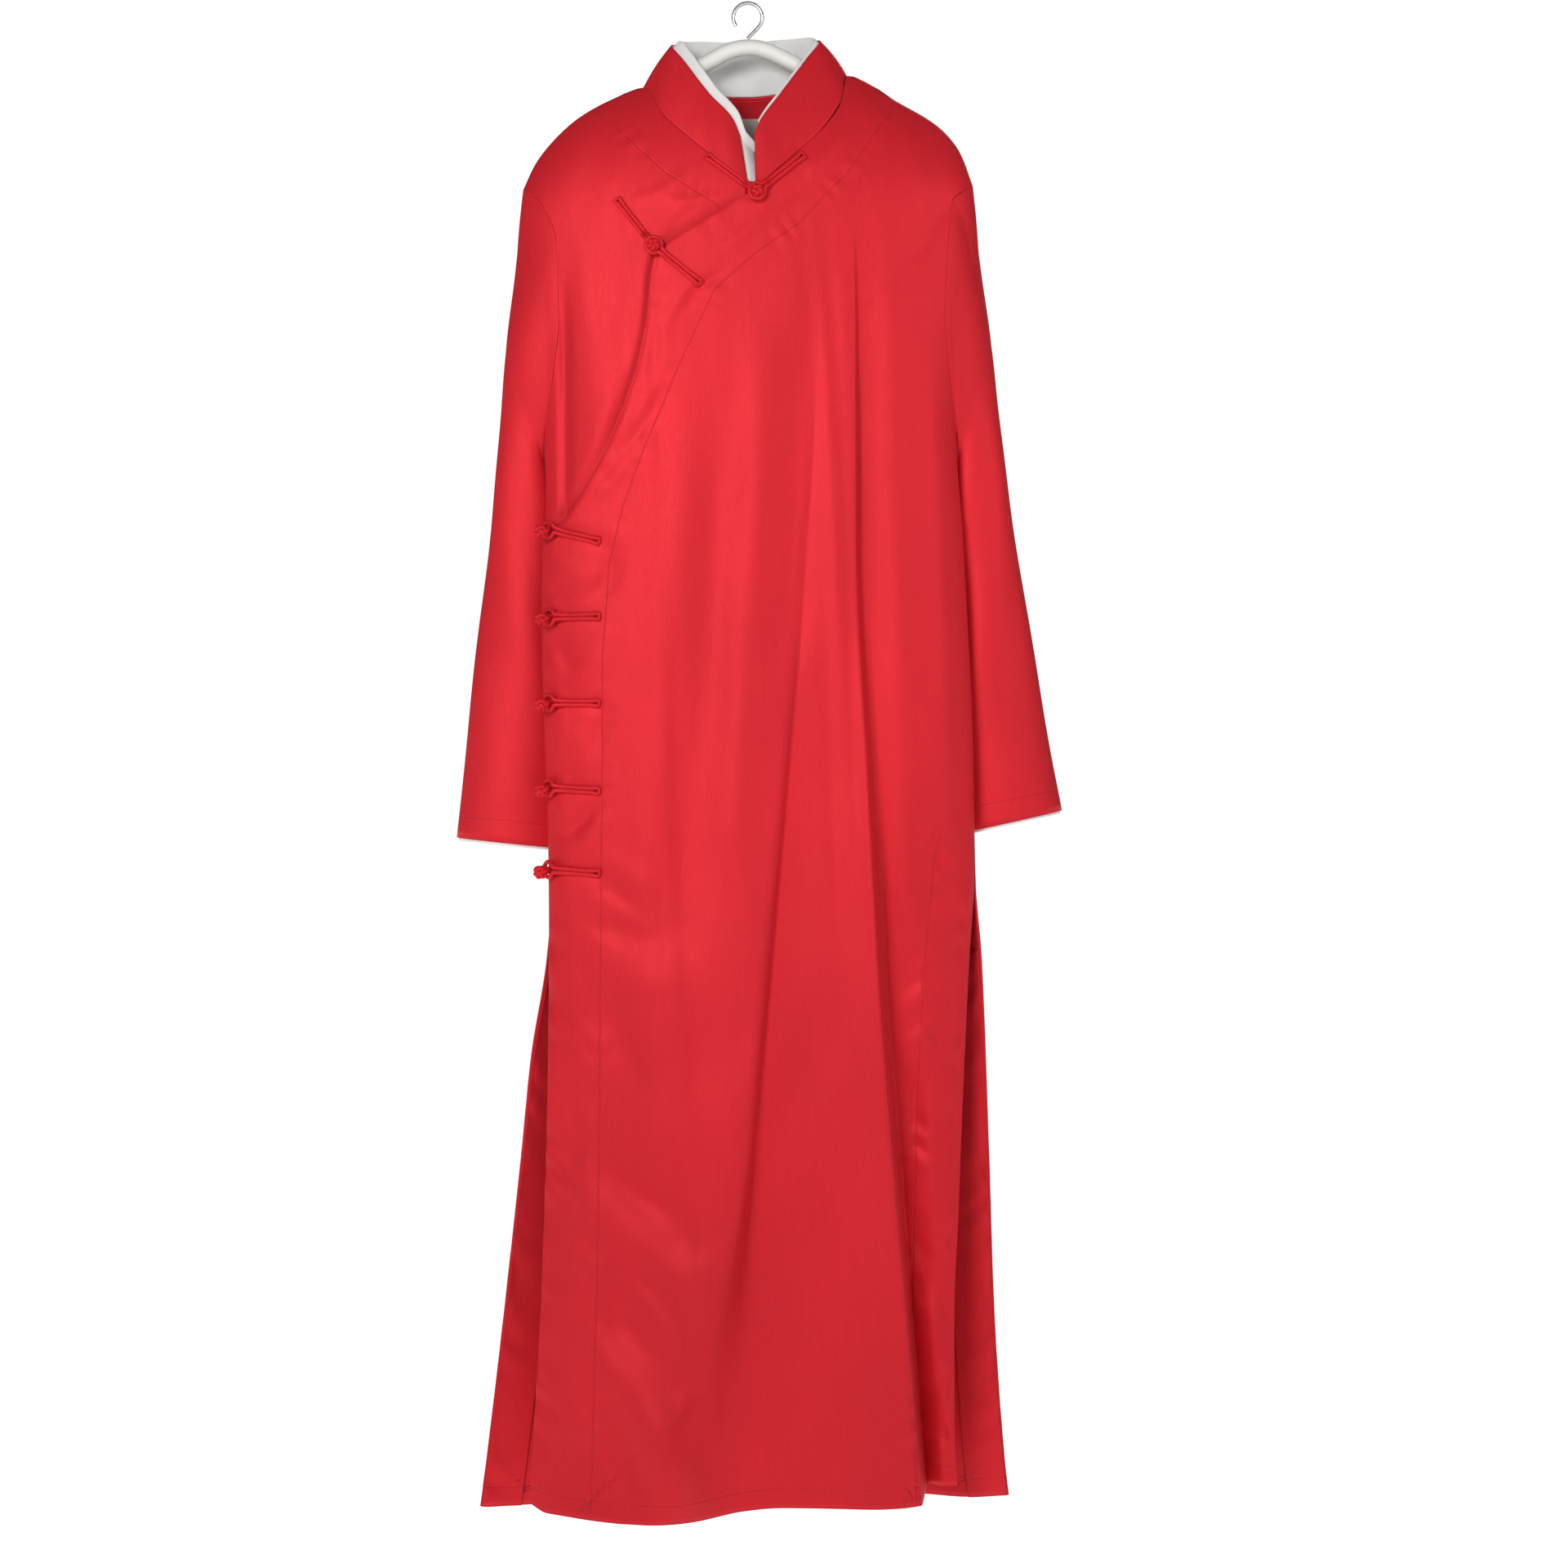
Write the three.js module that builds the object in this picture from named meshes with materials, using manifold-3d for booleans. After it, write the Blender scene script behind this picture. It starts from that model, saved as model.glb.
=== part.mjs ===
// A Chinese long robe with a stand collar, a curved side-fastening front and seven knotted frog
// fastenings, hanging on a plain hanger. The front laps to the wearer's right over a narrow inner
// panel, and both side seams are left open below the hip.
// Millimetres. +X is the wearer's left, +Y the back and +Z up. The origin is where the rail bears
// in the hanger's hook, and Y = 0 is the plane of the hanger and of the shoulder seams.

import * as THREE from "three";
import { mergeVertices } from "three/addons/utils/BufferGeometryUtils.js";
import Module from "manifold-3d";

const wasm = await Module();
wasm.setup();

// ---- Driving sizes ----

const CLOTH = 1.6; // a faced satin wall
const LINING = 1.2; // the white cotton at the collar and cuffs
const SEAM = 0.3; // gap where two pieces meet
const LAP = 5; // how far the front lies outside the inner panel
const UNDERARM_Z = -402;
const LAP_CORNER_Z = -508; // where the lapping edge reaches the side
const SLIT_Z = -830; // the side seams end here
const INNER_PANEL_END_Z = -845;
const LAP_OVERHANG = 3; // how far the front's edge stands past the side seam it covers

const FRONT_SHOULDER = 30; // how quickly the front falls away from the shoulder seam
const BACK_SHOULDER = 16;
const FLATNESS = 2.6; // above 2 the body is flatter in the middle than an ellipse
const ROUND_SIDE = 0.6; // exponent of the rounded side where front and back are joined
const OPEN_SIDE = 0.9; // the same where the slit lets the side hang open

const COLLAR_GAP = 1.1; // from the neckline's edge to the collar's foot
const COLLAR_CORNER_GAP = 1.6; // the same beside the left shoulder, where the two walls fold
// How far the white shows over the top of the overlapped half, over the rest and past the end.
const COLLAR_LINING = { overlapped: 9.5, above: 4, past: 7 };
const SLEEVE_GAP = 1.3; // from the armhole's edge to the sleeve's
const UNDERARM_GAP = 3.1; // the same where the two walls run side by side
const CUFF_SHOWS = 2.5;

const EDGE_FADE = 3; // how soon rows lose the shape of the top and hem
const SIDE_FADE = 4.5; // how soon columns lose the shape of the armholes and sides
const FOLD_STEP = 5; // width of the steep side of a leaning fold
const FOLD_SPREAD = 0.35; // below 1 a fold keeps its height nearer the sides

// ---- Tables: a row for each height, in mm ----

// The shoulder line, carried on across the neck. Its left end is the wearer's right shoulder.
const SHOULDER_LINE = [
  { x: -213, z: -176 },
  { x: -201, z: -151 },
  { x: -182, z: -127 },
  { x: -159, z: -107 },
  { x: -128, z: -90 },
  { x: -98.5, z: -79 },
  { x: 0, z: -60 },
  { x: 94.5, z: -68 },
  { x: 142, z: -93 },
  { x: 181, z: -117 },
  { x: 200, z: -140 },
  { x: 212, z: -171 },
];

// The body: where its sides are, how deep it is at the middle and how far the slit edges stand off.
const BODY = [
  { z: -50, left: -226, right: 226, front: 24, back: 32, frontSide: 0, backSide: 0 },
  { z: -110, left: -226, right: 226, front: 35, back: 38, frontSide: 0, backSide: 0 },
  { z: -180, left: -225, right: 225, front: 45, back: 42, frontSide: 0, backSide: 0 },
  { z: -240, left: -216, right: 216, front: 47, back: 44, frontSide: 0, backSide: 0 },
  { z: -310, left: -204, right: 206, front: 48, back: 46, frontSide: 0, backSide: 0 },
  { z: -402, left: -191.5, right: 196, front: 47, back: 47, frontSide: 0, backSide: 0 },
  { z: -500, left: -193.5, right: 202.5, front: 46, back: 47, frontSide: 0, backSide: 0 },
  { z: -580, left: -194.5, right: 207, front: 45, back: 47, frontSide: 0, backSide: 0 },
  { z: -685, left: -192, right: 212, front: 45, back: 47, frontSide: 0, backSide: 0 },
  { z: -820, left: -187.5, right: 214, front: 46, back: 48, frontSide: 0, backSide: 0 },
  { z: -900, left: -187, right: 209, front: 44, back: 45, frontSide: 3, backSide: 5 },
  { z: -1020, left: -188, right: 203, front: 40, back: 40, frontSide: 8, backSide: 14 },
  { z: -1144, left: -191, right: 198, front: 36, back: 35, frontSide: 12, backSide: 20 },
  { z: -1240, left: -194.5, right: 194, front: 34, back: 32, frontSide: 15, backSide: 24 },
  { z: -1330, left: -199.5, right: 194, front: 32, back: 29, frontSide: 17, backSide: 27 },
  { z: -1440, left: -204, right: 199, front: 30, back: 27, frontSide: 18, backSide: 30 },
];

// The back panel is cut wider below the slits and shows on both sides of the front.
const BACK_FLARE = [
  { z: -50, left: -226, right: 226 },
  { z: -240, left: -216, right: 216 },
  { z: -310, left: -204, right: 206 },
  { z: -402, left: -191.5, right: 196 },
  { z: -500, left: -190.5, right: 202.5 },
  { z: -580, left: -191.5, right: 207 },
  { z: -685, left: -189, right: 212 },
  { z: -830, left: -184.5, right: 215 },
  { z: -900, left: -190, right: 221 },
  { z: -1000, left: -206.5, right: 226 },
  { z: -1090, left: -216, right: 229.5 },
  { z: -1240, left: -233, right: 235 },
  { z: -1380, left: -250, right: 245 },
  { z: -1440, left: -258, right: 252 },
];

// Armholes in the front view: they start at the shoulder's end and run in, then down.
const ARMHOLES = [
  { z: -171, frontLeft: -213, frontRight: 212, backLeft: -213, backRight: 212 },
  { z: -177, frontLeft: -211, frontRight: 205, backLeft: -212, backRight: 208 },
  { z: -190, frontLeft: -195, frontRight: 192, backLeft: -203, backRight: 203 },
  { z: -230, frontLeft: -179, frontRight: 188, backLeft: -193, backRight: 196 },
  { z: -300, frontLeft: -177, frontRight: 185, backLeft: -189, backRight: 192 },
  { z: -355, frontLeft: -183, frontRight: 190, backLeft: -189, backRight: 193 },
  { z: -402, frontLeft: -191.5, frontRight: 196, backLeft: -191.5, backRight: 196 },
];

// The lapping edge of the front, from the second fastening down to the first side fastening.
const LAP_EDGE = [
  { z: -245, x: -86 },
  { z: -262, x: -89 },
  { z: -307, x: -92 },
  { z: -349, x: -101 },
  { z: -387, x: -114 },
  { z: -429, x: -133 },
  { z: -467, x: -156 },
  { z: -488, x: -171 },
  { z: -501, x: -187 },
  { z: -508, x: -193.6 },
];

// The two leaning folds of the front. Cloth climbs from the small one to the large one's crest
// and drops behind it: `rise` is the crest, `drop` the trough beyond it, `dip` the small step.
const LEANING_FOLDS = [
  { z: -68, small: 60, large: 94.5, dip: 0, rise: 0, drop: 0 },
  { z: -170, small: 62, large: 96, dip: 0, rise: 0, drop: 0 },
  { z: -300, small: 62, large: 99, dip: 0, rise: 3, drop: 2 },
  { z: -526, small: 51, large: 100, dip: 1, rise: 8, drop: 5 },
  { z: -722, small: 36, large: 110, dip: 4, rise: 14, drop: 10 },
  { z: -924, small: 18, large: 121, dip: 7, rise: 21, drop: 18 },
  { z: -1139, small: -2, large: 138, dip: 11, rise: 28, drop: 26 },
  { z: -1325, small: -26, large: 154, dip: 15, rise: 34, drop: 31 },
  { z: -1440, small: -50, large: 164, dip: 17, rise: 37, drop: 33 },
];

// Softer folds: each runs from (x0, z0) to (x1, z1); a negative height is a trough.
const FRONT_FOLDS = [
  { x0: -8, z0: -300, x1: -62, z1: -960, width: 24, height: -4 },
  { x0: 22, z0: -260, x1: -28, z1: -900, width: 22, height: 4 },
  { x0: 47, z0: -300, x1: 44, z1: -640, width: 16, height: -3 },
  { x0: -62, z0: -420, x1: -100, z1: -900, width: 20, height: 3 },
  { x0: 135, z0: -160, x1: 150, z1: -1060, width: 18, height: 6 },
  { x0: 170, z0: -260, x1: 178, z1: -860, width: 14, height: -5 },
  { x0: -132, z0: -1060, x1: -38, z1: -1190, width: 22, height: -6 },
  { x0: -132, z0: -1180, x1: -52, z1: -1330, width: 24, height: -7 },
  { x0: -130, z0: -1240, x1: -40, z1: -1440, width: 24, height: 9 },
  { x0: -80, z0: -860, x1: -72, z1: -1120, width: 34, height: 6 },
];
const BACK_FOLDS = [
  { x0: -120, z0: -200, x1: -168, z1: -1440, width: 30, height: 12 },
  { x0: -62, z0: -220, x1: -96, z1: -1440, width: 26, height: -10 },
  { x0: 4, z0: -200, x1: -10, z1: -1440, width: 34, height: 14 },
  { x0: 66, z0: -240, x1: 82, z1: -1440, width: 26, height: -11 },
  { x0: 124, z0: -210, x1: 160, z1: -1440, width: 30, height: 12 },
];
const INNER_PANEL_FOLDS = [
  { x0: -172, z0: -250, x1: -171, z1: -640, width: 6, height: -10 },
  { x0: -140, z0: -260, x1: -150, z1: -640, width: 18, height: 3 },
];

// Outlines of shaped edges, in the front view.
const FRONT_TOP = [
  { x: -86, z: -245 },
  { x: -68, z: -229 },
  { x: -34, z: -208 },
  { x: 8, z: -184 },
  { x: 27, z: -167 },
  { x: 49, z: -146 },
  { x: 72, z: -123 },
  { x: 88, z: -97 },
  { x: 94.5, z: -68 },
  { x: 142, z: -93 },
  { x: 181, z: -117 },
  { x: 200, z: -140 },
  { x: 212, z: -171 },
];
const INNER_PANEL_TOP = [
  { x: -213, z: -176 },
  { x: -201, z: -151 },
  { x: -182, z: -127 },
  { x: -159, z: -107 },
  { x: -128, z: -90 },
  { x: -98.5, z: -79 },
  { x: -80, z: -109 },
  { x: -53, z: -135 },
  { x: -15, z: -166 },
  { x: 0, z: -177 },
];
const BACK_TOP = [
  { x: -213, z: -176 },
  { x: -201, z: -151 },
  { x: -182, z: -127 },
  { x: -159, z: -107 },
  { x: -128, z: -90 },
  { x: -98.5, z: -79 },
  { x: -76, z: -82 },
  { x: -40, z: -84 },
  { x: 0, z: -84 },
  { x: 40, z: -80 },
  { x: 74, z: -73 },
  { x: 94.5, z: -68 },
  { x: 142, z: -93 },
  { x: 181, z: -117 },
  { x: 200, z: -140 },
  { x: 212, z: -171 },
];
const FRONT_HEM = [
  { x: -204, z: -1413 },
  { x: -188, z: -1420 },
  { x: -103, z: -1423 },
  { x: -42, z: -1423 },
  { x: 27, z: -1417 },
  { x: 102, z: -1415 },
  { x: 162, z: -1408 },
  { x: 174, z: -1398 },
  { x: 198, z: -1397 },
];
const BACK_HEM = [
  { x: -257, z: -1429 },
  { x: -198, z: -1431 },
  { x: 0, z: -1427 },
  { x: 204, z: -1423 },
  { x: 251, z: -1418 },
];

// The stand collar's upper edge, from the wearer's right end round the back to the left end. Its
// lower edge is the neckline itself; `at` is the place along it, a whole number at each corner.
const COLLAR_TOP = [
  { at: 0, x: -7, y: -32, z: -132 },
  { at: 0.12, x: -14, y: -31, z: -115 },
  { at: 0.38, x: -36, y: -25, z: -90 },
  { at: 0.72, x: -60, y: -12, z: -56 },
  { at: 1, x: -72, y: 2, z: -38 },
  { at: 1.12, x: -60, y: 18, z: -34 },
  { at: 1.3, x: -36, y: 29, z: -32 },
  { at: 1.5, x: 0, y: 33, z: -32 },
  { at: 1.7, x: 34, y: 29, z: -30 },
  { at: 1.88, x: 56, y: 18, z: -30 },
  { at: 2, x: 68, y: 2, z: -34 },
  { at: 2.28, x: 54, y: -12, z: -56 },
  { at: 2.6, x: 30, y: -25, z: -91 },
  { at: 2.88, x: 12, y: -33, z: -117 },
  { at: 3, x: 6.5, y: -37, z: -130 },
];

// Sleeves: the outer (top) and inner (underarm) fold lines from the armhole to the cuff, and how
// far the tube stands to the front and back of them.
const RIGHT_SLEEVE = [
  { t: 0, outX: -213, outY: 0, outZ: -176, inX: -196, inY: 2, inZ: -405, half: 20 },
  { t: 0.12, outX: -220, outY: 8, outZ: -236, inX: -197, inY: 20, inZ: -434, half: 24 },
  { t: 0.3, outX: -231, outY: 20, outZ: -345, inX: -177, inY: 38, inZ: -500, half: 27 },
  { t: 0.55, outX: -247, outY: 32, outZ: -500, inX: -173, inY: 41, inZ: -610, half: 29 },
  { t: 0.8, outX: -266, outY: 40, outZ: -660, inX: -164, inY: 46, inZ: -718, half: 31 },
  { t: 1, outX: -280, outY: 45, outZ: -789, inX: -158, inY: 49, inZ: -801, half: 32 },
];
const LEFT_SLEEVE = [
  { t: 0, outX: 212, outY: 0, outZ: -171, inX: 200, inY: 2, inZ: -405, half: 20 },
  { t: 0.12, outX: 219, outY: 8, outZ: -230, inX: 202, inY: 20, inZ: -434, half: 24 },
  { t: 0.3, outX: 232, outY: 20, outZ: -335, inX: 187, inY: 39, inZ: -500, half: 27 },
  { t: 0.55, outX: 253, outY: 32, outZ: -487, inX: 189, inY: 44, inZ: -608, half: 29 },
  { t: 0.8, outX: 280, outY: 40, outZ: -652, inX: 182, inY: 48, inZ: -710, half: 31 },
  { t: 1, outX: 301, outY: 45, outZ: -763, inX: 178, inY: 50, inZ: -790, half: 32 },
];

// Frog fastenings: the knot, and where each half's strap ends.
const FRONT_FROGS = [
  { name: "collar", x: 9, z: -188, loopX: 52, loopZ: -152, knotX: -37, knotZ: -153 },
  { name: "chest", x: -86, z: -238, loopX: -44, loopZ: -273, knotX: -121, knotZ: -193 },
];
const SIDE_FROGS = [
  { name: "side_1", z: -499, loopZ: -511, cordDip: 4.2 },
  { name: "side_2", z: -581, loopZ: -581, cordDip: 0 },
  { name: "side_3", z: -661, loopZ: -662, cordDip: 0 },
  { name: "side_4", z: -741, loopZ: -744, cordDip: 0 },
  { name: "side_5", z: -818, loopZ: -821, cordDip: 0 },
];
const SIDE_FROG = { ringX: -182.5, endX: -138, turn: 4 };
const STRAP = { half: 3.9, thick: 2.6, groove: 1.2, flare: 1.35, clear: 0.5 };
const RING = { radius: 7.6, wire: 1.6, height: 5.4, steps: 14, sides: 6 };
const KNOT = { radius: 5.6, height: 6.7, sideHeight: 13.6, cord: 1.3 };

const FACING = { width: 38, thick: 0.9, top: -880 }; // turned inside along each slit
const LABEL = { width: 58, height: 42, x: 6, z: -100, thick: 0.8 };

const HANGER = { halfHeight: 8, halfDepth: 7.5, sides: 10, steps: 20 };
const HANGER_LINE = [
  { x: -178, z: -147 },
  { x: -158, z: -128 },
  { x: -128, z: -112 },
  { x: -98.5, z: -98 },
  { x: -42, z: -57 },
  { x: 0, z: -40.5 },
  { x: 42, z: -55 },
  { x: 94.5, z: -89 },
  { x: 142, z: -115 },
  { x: 160, z: -126 },
  { x: 176, z: -139 },
];
const HOOK = { wire: 1.7, radius: 13.7, stemFoot: -32.1, sides: 5, steps: 26 };

// ---- Small helpers ----

const clamp = (value, low, high) => Math.min(high, Math.max(low, value));
const mix = (a, b, t) => a + (b - a) * t;
function smooth(from, to, value) {
  const t = clamp((value - from) / (to - from), 0, 1);
  return t * t * (3 - 2 * t);
}

// A curve through (keys, values) made of cubics that never overshoot a row.
function curveThrough(keys, values) {
  const order = keys.map((_, i) => i).sort((a, b) => keys[a] - keys[b]);
  const xs = order.map((i) => keys[i]);
  const ys = order.map((i) => values[i]);
  const steps = xs.slice(1).map((x, i) => x - xs[i]);
  const slopes = steps.map((h, i) => (ys[i + 1] - ys[i]) / h);
  const tangents = xs.map((_, i) => {
    if (i === 0) return slopes[0];
    if (i === xs.length - 1) return slopes[i - 1];
    const [a, b] = [slopes[i - 1], slopes[i]];
    return a * b <= 0 ? 0 : (2 * a * b) / (a + b);
  });
  return (x) => {
    let i = 0;
    while (i < xs.length - 2 && x > xs[i + 1]) i += 1;
    const t = clamp((x - xs[i]) / steps[i], 0, 1);
    const [h, u] = [steps[i], 1 - t];
    return (
      ys[i] * u * u * (1 + 2 * t) +
      ys[i + 1] * t * t * (3 - 2 * t) +
      h * tangents[i] * t * u * u -
      h * tangents[i + 1] * t * t * u
    );
  };
}
const columnsOf = (table, key, names) =>
  Object.fromEntries(
    names.map((n) => [n, curveThrough(table.map((row) => row[key]), table.map((row) => row[n]))]),
  );

// A line through a table's points, asked for by the fraction of its length.
function lineThrough(table, names) {
  const along = [0];
  for (let i = 1; i < table.length; i += 1) {
    const gap = Math.hypot(...names.map((n) => table[i][n] - table[i - 1][n]));
    along.push(along[i - 1] + gap);
  }
  const length = along[along.length - 1];
  const parts = names.map((n) => curveThrough(along, table.map((row) => row[n])));
  return (fraction) => Object.fromEntries(names.map((n, i) => [n, parts[i](fraction * length)]));
}

const angles = (count) => Array.from({ length: count }, (_, j) => (2 * Math.PI * j) / count);

// ---- The hanging surfaces ----

const shoulderZ = columnsOf(SHOULDER_LINE, "x", ["z"]).z;
const body = columnsOf(BODY, "z", ["left", "right", "front", "back", "frontSide", "backSide"]);
const flare = columnsOf(BACK_FLARE, "z", ["left", "right"]);
const folds = columnsOf(LEANING_FOLDS, "z", ["small", "large", "dip", "rise", "drop"]);
const armholes = columnsOf(ARMHOLES, "z", ["frontLeft", "frontRight", "backLeft", "backRight"]);
const lapEdge = columnsOf(LAP_EDGE, "z", ["x"]).x;
const innerSides = {
  left: (z) => body.left(z) + LAP_OVERHANG * smooth(UNDERARM_Z, UNDERARM_Z - 90, z),
  right: body.right,
};

// How far across the body a point is, from -1 to 1, and how much of the full depth it has there.
function across(x, z, sides) {
  const [left, right] = [sides.left(z), sides.right(z)];
  return clamp((2 * x - left - right) / (right - left), -1, 1);
}
function fullness(x, z, sides) {
  const exponent = mix(ROUND_SIDE, OPEN_SIDE, smooth(SLIT_Z + 40, SLIT_Z - 250, z));
  return Math.pow(1 - Math.pow(Math.abs(across(x, z, sides)), FLATNESS), exponent);
}
const fallFrom = (x, z, reach) => 1 - Math.exp(-Math.max(0, shoulderZ(x) - z) / reach);

// A straight soft fold fades out at both ends.
function softFold(x, z, fold) {
  const [dx, dz] = [fold.x1 - fold.x0, fold.z1 - fold.z0];
  const length = Math.hypot(dx, dz);
  const t = ((x - fold.x0) * dx + (z - fold.z0) * dz) / (length * length);
  const off = ((x - fold.x0) * dz - (z - fold.z0) * dx) / length;
  const ends = smooth(0, 0.25, t) * (fold.z1 < -1400 ? 1 : smooth(1, 0.75, t));
  return fold.height * ends * Math.exp(-Math.pow(off / fold.width, 2));
}
const softFolds = (x, z, table) => table.reduce((sum, fold) => sum + softFold(x, z, fold), 0);

// How far the leaning folds stand out of the front.
function leaningFolds(x, z) {
  const [small, large] = [folds.small(z), folds.large(z)];
  const [dip, rise, drop] = [folds.dip(z), folds.rise(z), folds.drop(z)];
  if (x < small) return 0;
  if (x < small + FOLD_STEP) return -dip * smooth(small, small + FOLD_STEP, x);
  if (x < large) {
    const t = (x - small - FOLD_STEP) / (large - small - FOLD_STEP);
    return mix(-dip, rise, Math.sin((t * Math.PI) / 2));
  }
  if (x < large + FOLD_STEP) return mix(rise, -drop, smooth(large, large + FOLD_STEP, x));
  const t = (x - large - FOLD_STEP) / Math.max(1, body.right(z) - large - FOLD_STEP);
  return -drop * Math.pow(1 - clamp(t, 0, 1), 1.6);
}

function innerPanelY(x, z) {
  const full = fullness(x, z, innerSides);
  const depth = body.front(z) * full + softFolds(x, z, INNER_PANEL_FOLDS) * full;
  return -depth * fallFrom(x, z, FRONT_SHOULDER);
}
function frontY(x, z) {
  const lap = LAP * (1 - smooth(-0.1, 0.6, across(x, z, body)));
  const depth = body.frontSide(z) + body.front(z) * fullness(x, z, body) + lap;
  const near = Math.pow(fullness(x, z, body), FOLD_SPREAD);
  const stand = (leaningFolds(x, z) + softFolds(x, z, FRONT_FOLDS)) * near;
  return -(depth + stand) * fallFrom(x, z, FRONT_SHOULDER);
}
function backY(x, z) {
  const depth = body.backSide(z) + body.back(z) * fullness(x, z, flare);
  const stand = softFolds(x, z, BACK_FOLDS) * Math.pow(fullness(x, z, flare), FOLD_SPREAD);
  return (depth + stand) * fallFrom(x, z, BACK_SHOULDER);
}

// ---- Walls from grids ----

// A grid of middle points with the cloth's outward direction at each. Along a seam that
// direction is kept in the plane of the seam, so the two walls meet face to face.
function gridOf(points, { ring = false, seam = () => false, facing = 1 } = {}) {
  const [rows, cols] = [points.length, points[0].length];
  const wrap = (j) => (ring ? (j + cols) % cols : clamp(j, 0, cols - 1));
  const out = points.map((row, i) =>
    row.map((_, j) => {
      const down = points[Math.min(i + 1, rows - 1)][j].clone();
      down.sub(points[Math.max(i - 1, 0)][j]);
      const over = row[wrap(j + 1)].clone().sub(row[wrap(j - 1)]);
      const normal = down.cross(over).multiplyScalar(facing);
      if (seam(i, j)) normal.setY(0);
      return normal.normalize();
    }),
  );
  return { points, out, ring };
}
const part = (grid, rows, cols) => ({
  points: grid.points.slice(...rows).map((row) => row.slice(...cols)),
  out: grid.out.slice(...rows).map((row) => row.slice(...cols)),
  ring: grid.ring,
});
const moved = (grid, distance) =>
  grid.points.map((row, i) =>
    row.map((p, j) => p.clone().addScaledVector(grid.out[i][j], distance)),
  );

// Closes the space between two grids of points into one wall.
function between(outer, inner, ring = false) {
  const [rows, cols] = [outer.length, outer[0].length];
  const positions = [...outer.flat(), ...inner.flat()].flatMap((p) => p.toArray());
  const faces = [];
  const at = (side, i, j) => side * rows * cols + i * cols + (ring ? j % cols : j);
  const quad = (a, b, c, d) => faces.push(a, b, c, a, c, d);
  const last = ring ? cols : cols - 1;
  for (let i = 0; i < rows - 1; i += 1) {
    for (let j = 0; j < last; j += 1) {
      quad(at(0, i, j), at(0, i + 1, j), at(0, i + 1, j + 1), at(0, i, j + 1));
      quad(at(1, i, j), at(1, i, j + 1), at(1, i + 1, j + 1), at(1, i + 1, j));
    }
    if (!ring) {
      quad(at(0, i, 0), at(1, i, 0), at(1, i + 1, 0), at(0, i + 1, 0));
      quad(at(0, i, last), at(0, i + 1, last), at(1, i + 1, last), at(1, i, last));
    }
  }
  for (let j = 0; j < last; j += 1) {
    quad(at(0, 0, j), at(0, 0, j + 1), at(1, 0, j + 1), at(1, 0, j));
    quad(at(0, rows - 1, j), at(1, rows - 1, j), at(1, rows - 1, j + 1), at(0, rows - 1, j + 1));
  }
  return facingOut(geometryOf(positions, faces));
}
const wall = (grid, thick = CLOTH) =>
  between(moved(grid, thick / 2), moved(grid, -thick / 2), grid.ring);

// Rings of points joined into a closed bar with flat ends.
function bar(rings) {
  const sides = rings[0].length;
  const positions = rings.flat().flatMap((p) => p.toArray());
  const faces = [];
  rings.slice(1).forEach((_, i) => {
    for (let j = 0; j < sides; j += 1) {
      const [a, b] = [i * sides + j, i * sides + ((j + 1) % sides)];
      faces.push(a, b, b + sides, a, b + sides, a + sides);
    }
  });
  const end = (rings.length - 1) * sides;
  for (let j = 1; j < sides - 1; j += 1) {
    faces.push(0, j + 1, j, end, end + j, end + j + 1);
  }
  return facingOut(geometryOf(positions, faces));
}

function geometryOf(positions, faces) {
  const geometry = new THREE.BufferGeometry();
  geometry.setAttribute("position", new THREE.Float32BufferAttribute(positions, 3));
  geometry.setIndex(faces);
  geometry.computeVertexNormals();
  return geometry;
}

// Turns a closed mesh's faces round when they point inwards.
function facingOut(geometry) {
  const [p, index] = [geometry.attributes.position, geometry.index.array];
  const corner = (i) => new THREE.Vector3().fromBufferAttribute(p, index[i]);
  let volume = 0;
  for (let i = 0; i < index.length; i += 3) {
    volume += corner(i).dot(corner(i + 1).cross(corner(i + 2)));
  }
  if (volume >= 0) return geometry;
  const turned = Array.from(index);
  for (let i = 0; i < turned.length; i += 3) {
    [turned[i + 1], turned[i + 2]] = [turned[i + 2], turned[i + 1]];
  }
  return geometryOf(Array.from(p.array), turned);
}

function joined(...geometries) {
  const solids = geometries.map((geometry) => {
    const bare = geometry.clone();
    bare.deleteAttribute("normal");
    bare.deleteAttribute("uv");
    const merged = facingOut(mergeVertices(bare, 1e-3));
    return new wasm.Manifold(
      new wasm.Mesh({
        numProp: 3,
        vertProperties: merged.attributes.position.array,
        triVerts: new Uint32Array(merged.index.array),
      }),
    );
  });
  const mesh = solids.reduce((a, b) => a.add(b)).getMesh();
  return geometryOf(Array.from(mesh.vertProperties), Array.from(mesh.triVerts));
}

// ---- Cutting the panels ----

// A four-sided panel in the front view, from its shaped top and bottom and its two sides. The
// shape of each edge fades out across the panel.
function outline(top, bottom, left, right) {
  const [topFrom, topTo, lowFrom, lowTo] = [top(0), top(1), bottom(0), bottom(1)];
  return (u, v) => {
    const [l, r, t, b] = [left(v), right(v), top(u), bottom(u)];
    const fade = (w) => Math.pow(w, EDGE_FADE);
    const sideFade = (w) => Math.pow(w, SIDE_FADE);
    const [leftX, rightX] = [mix(topFrom.x, lowFrom.x, v), mix(topTo.x, lowTo.x, v)];
    return {
      x:
        mix(leftX, rightX, u) +
        sideFade(1 - u) * (l.x - leftX) +
        sideFade(u) * (r.x - rightX) +
        fade(1 - v) * (t.x - mix(topFrom.x, topTo.x, u)) +
        fade(v) * (b.x - mix(lowFrom.x, lowTo.x, u)),
      z:
        mix(l.z, r.z, u) +
        fade(1 - v) * (t.z - mix(topFrom.z, topTo.z, u)) +
        fade(v) * (b.z - mix(lowFrom.z, lowTo.z, u)),
    };
  };
}

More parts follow.
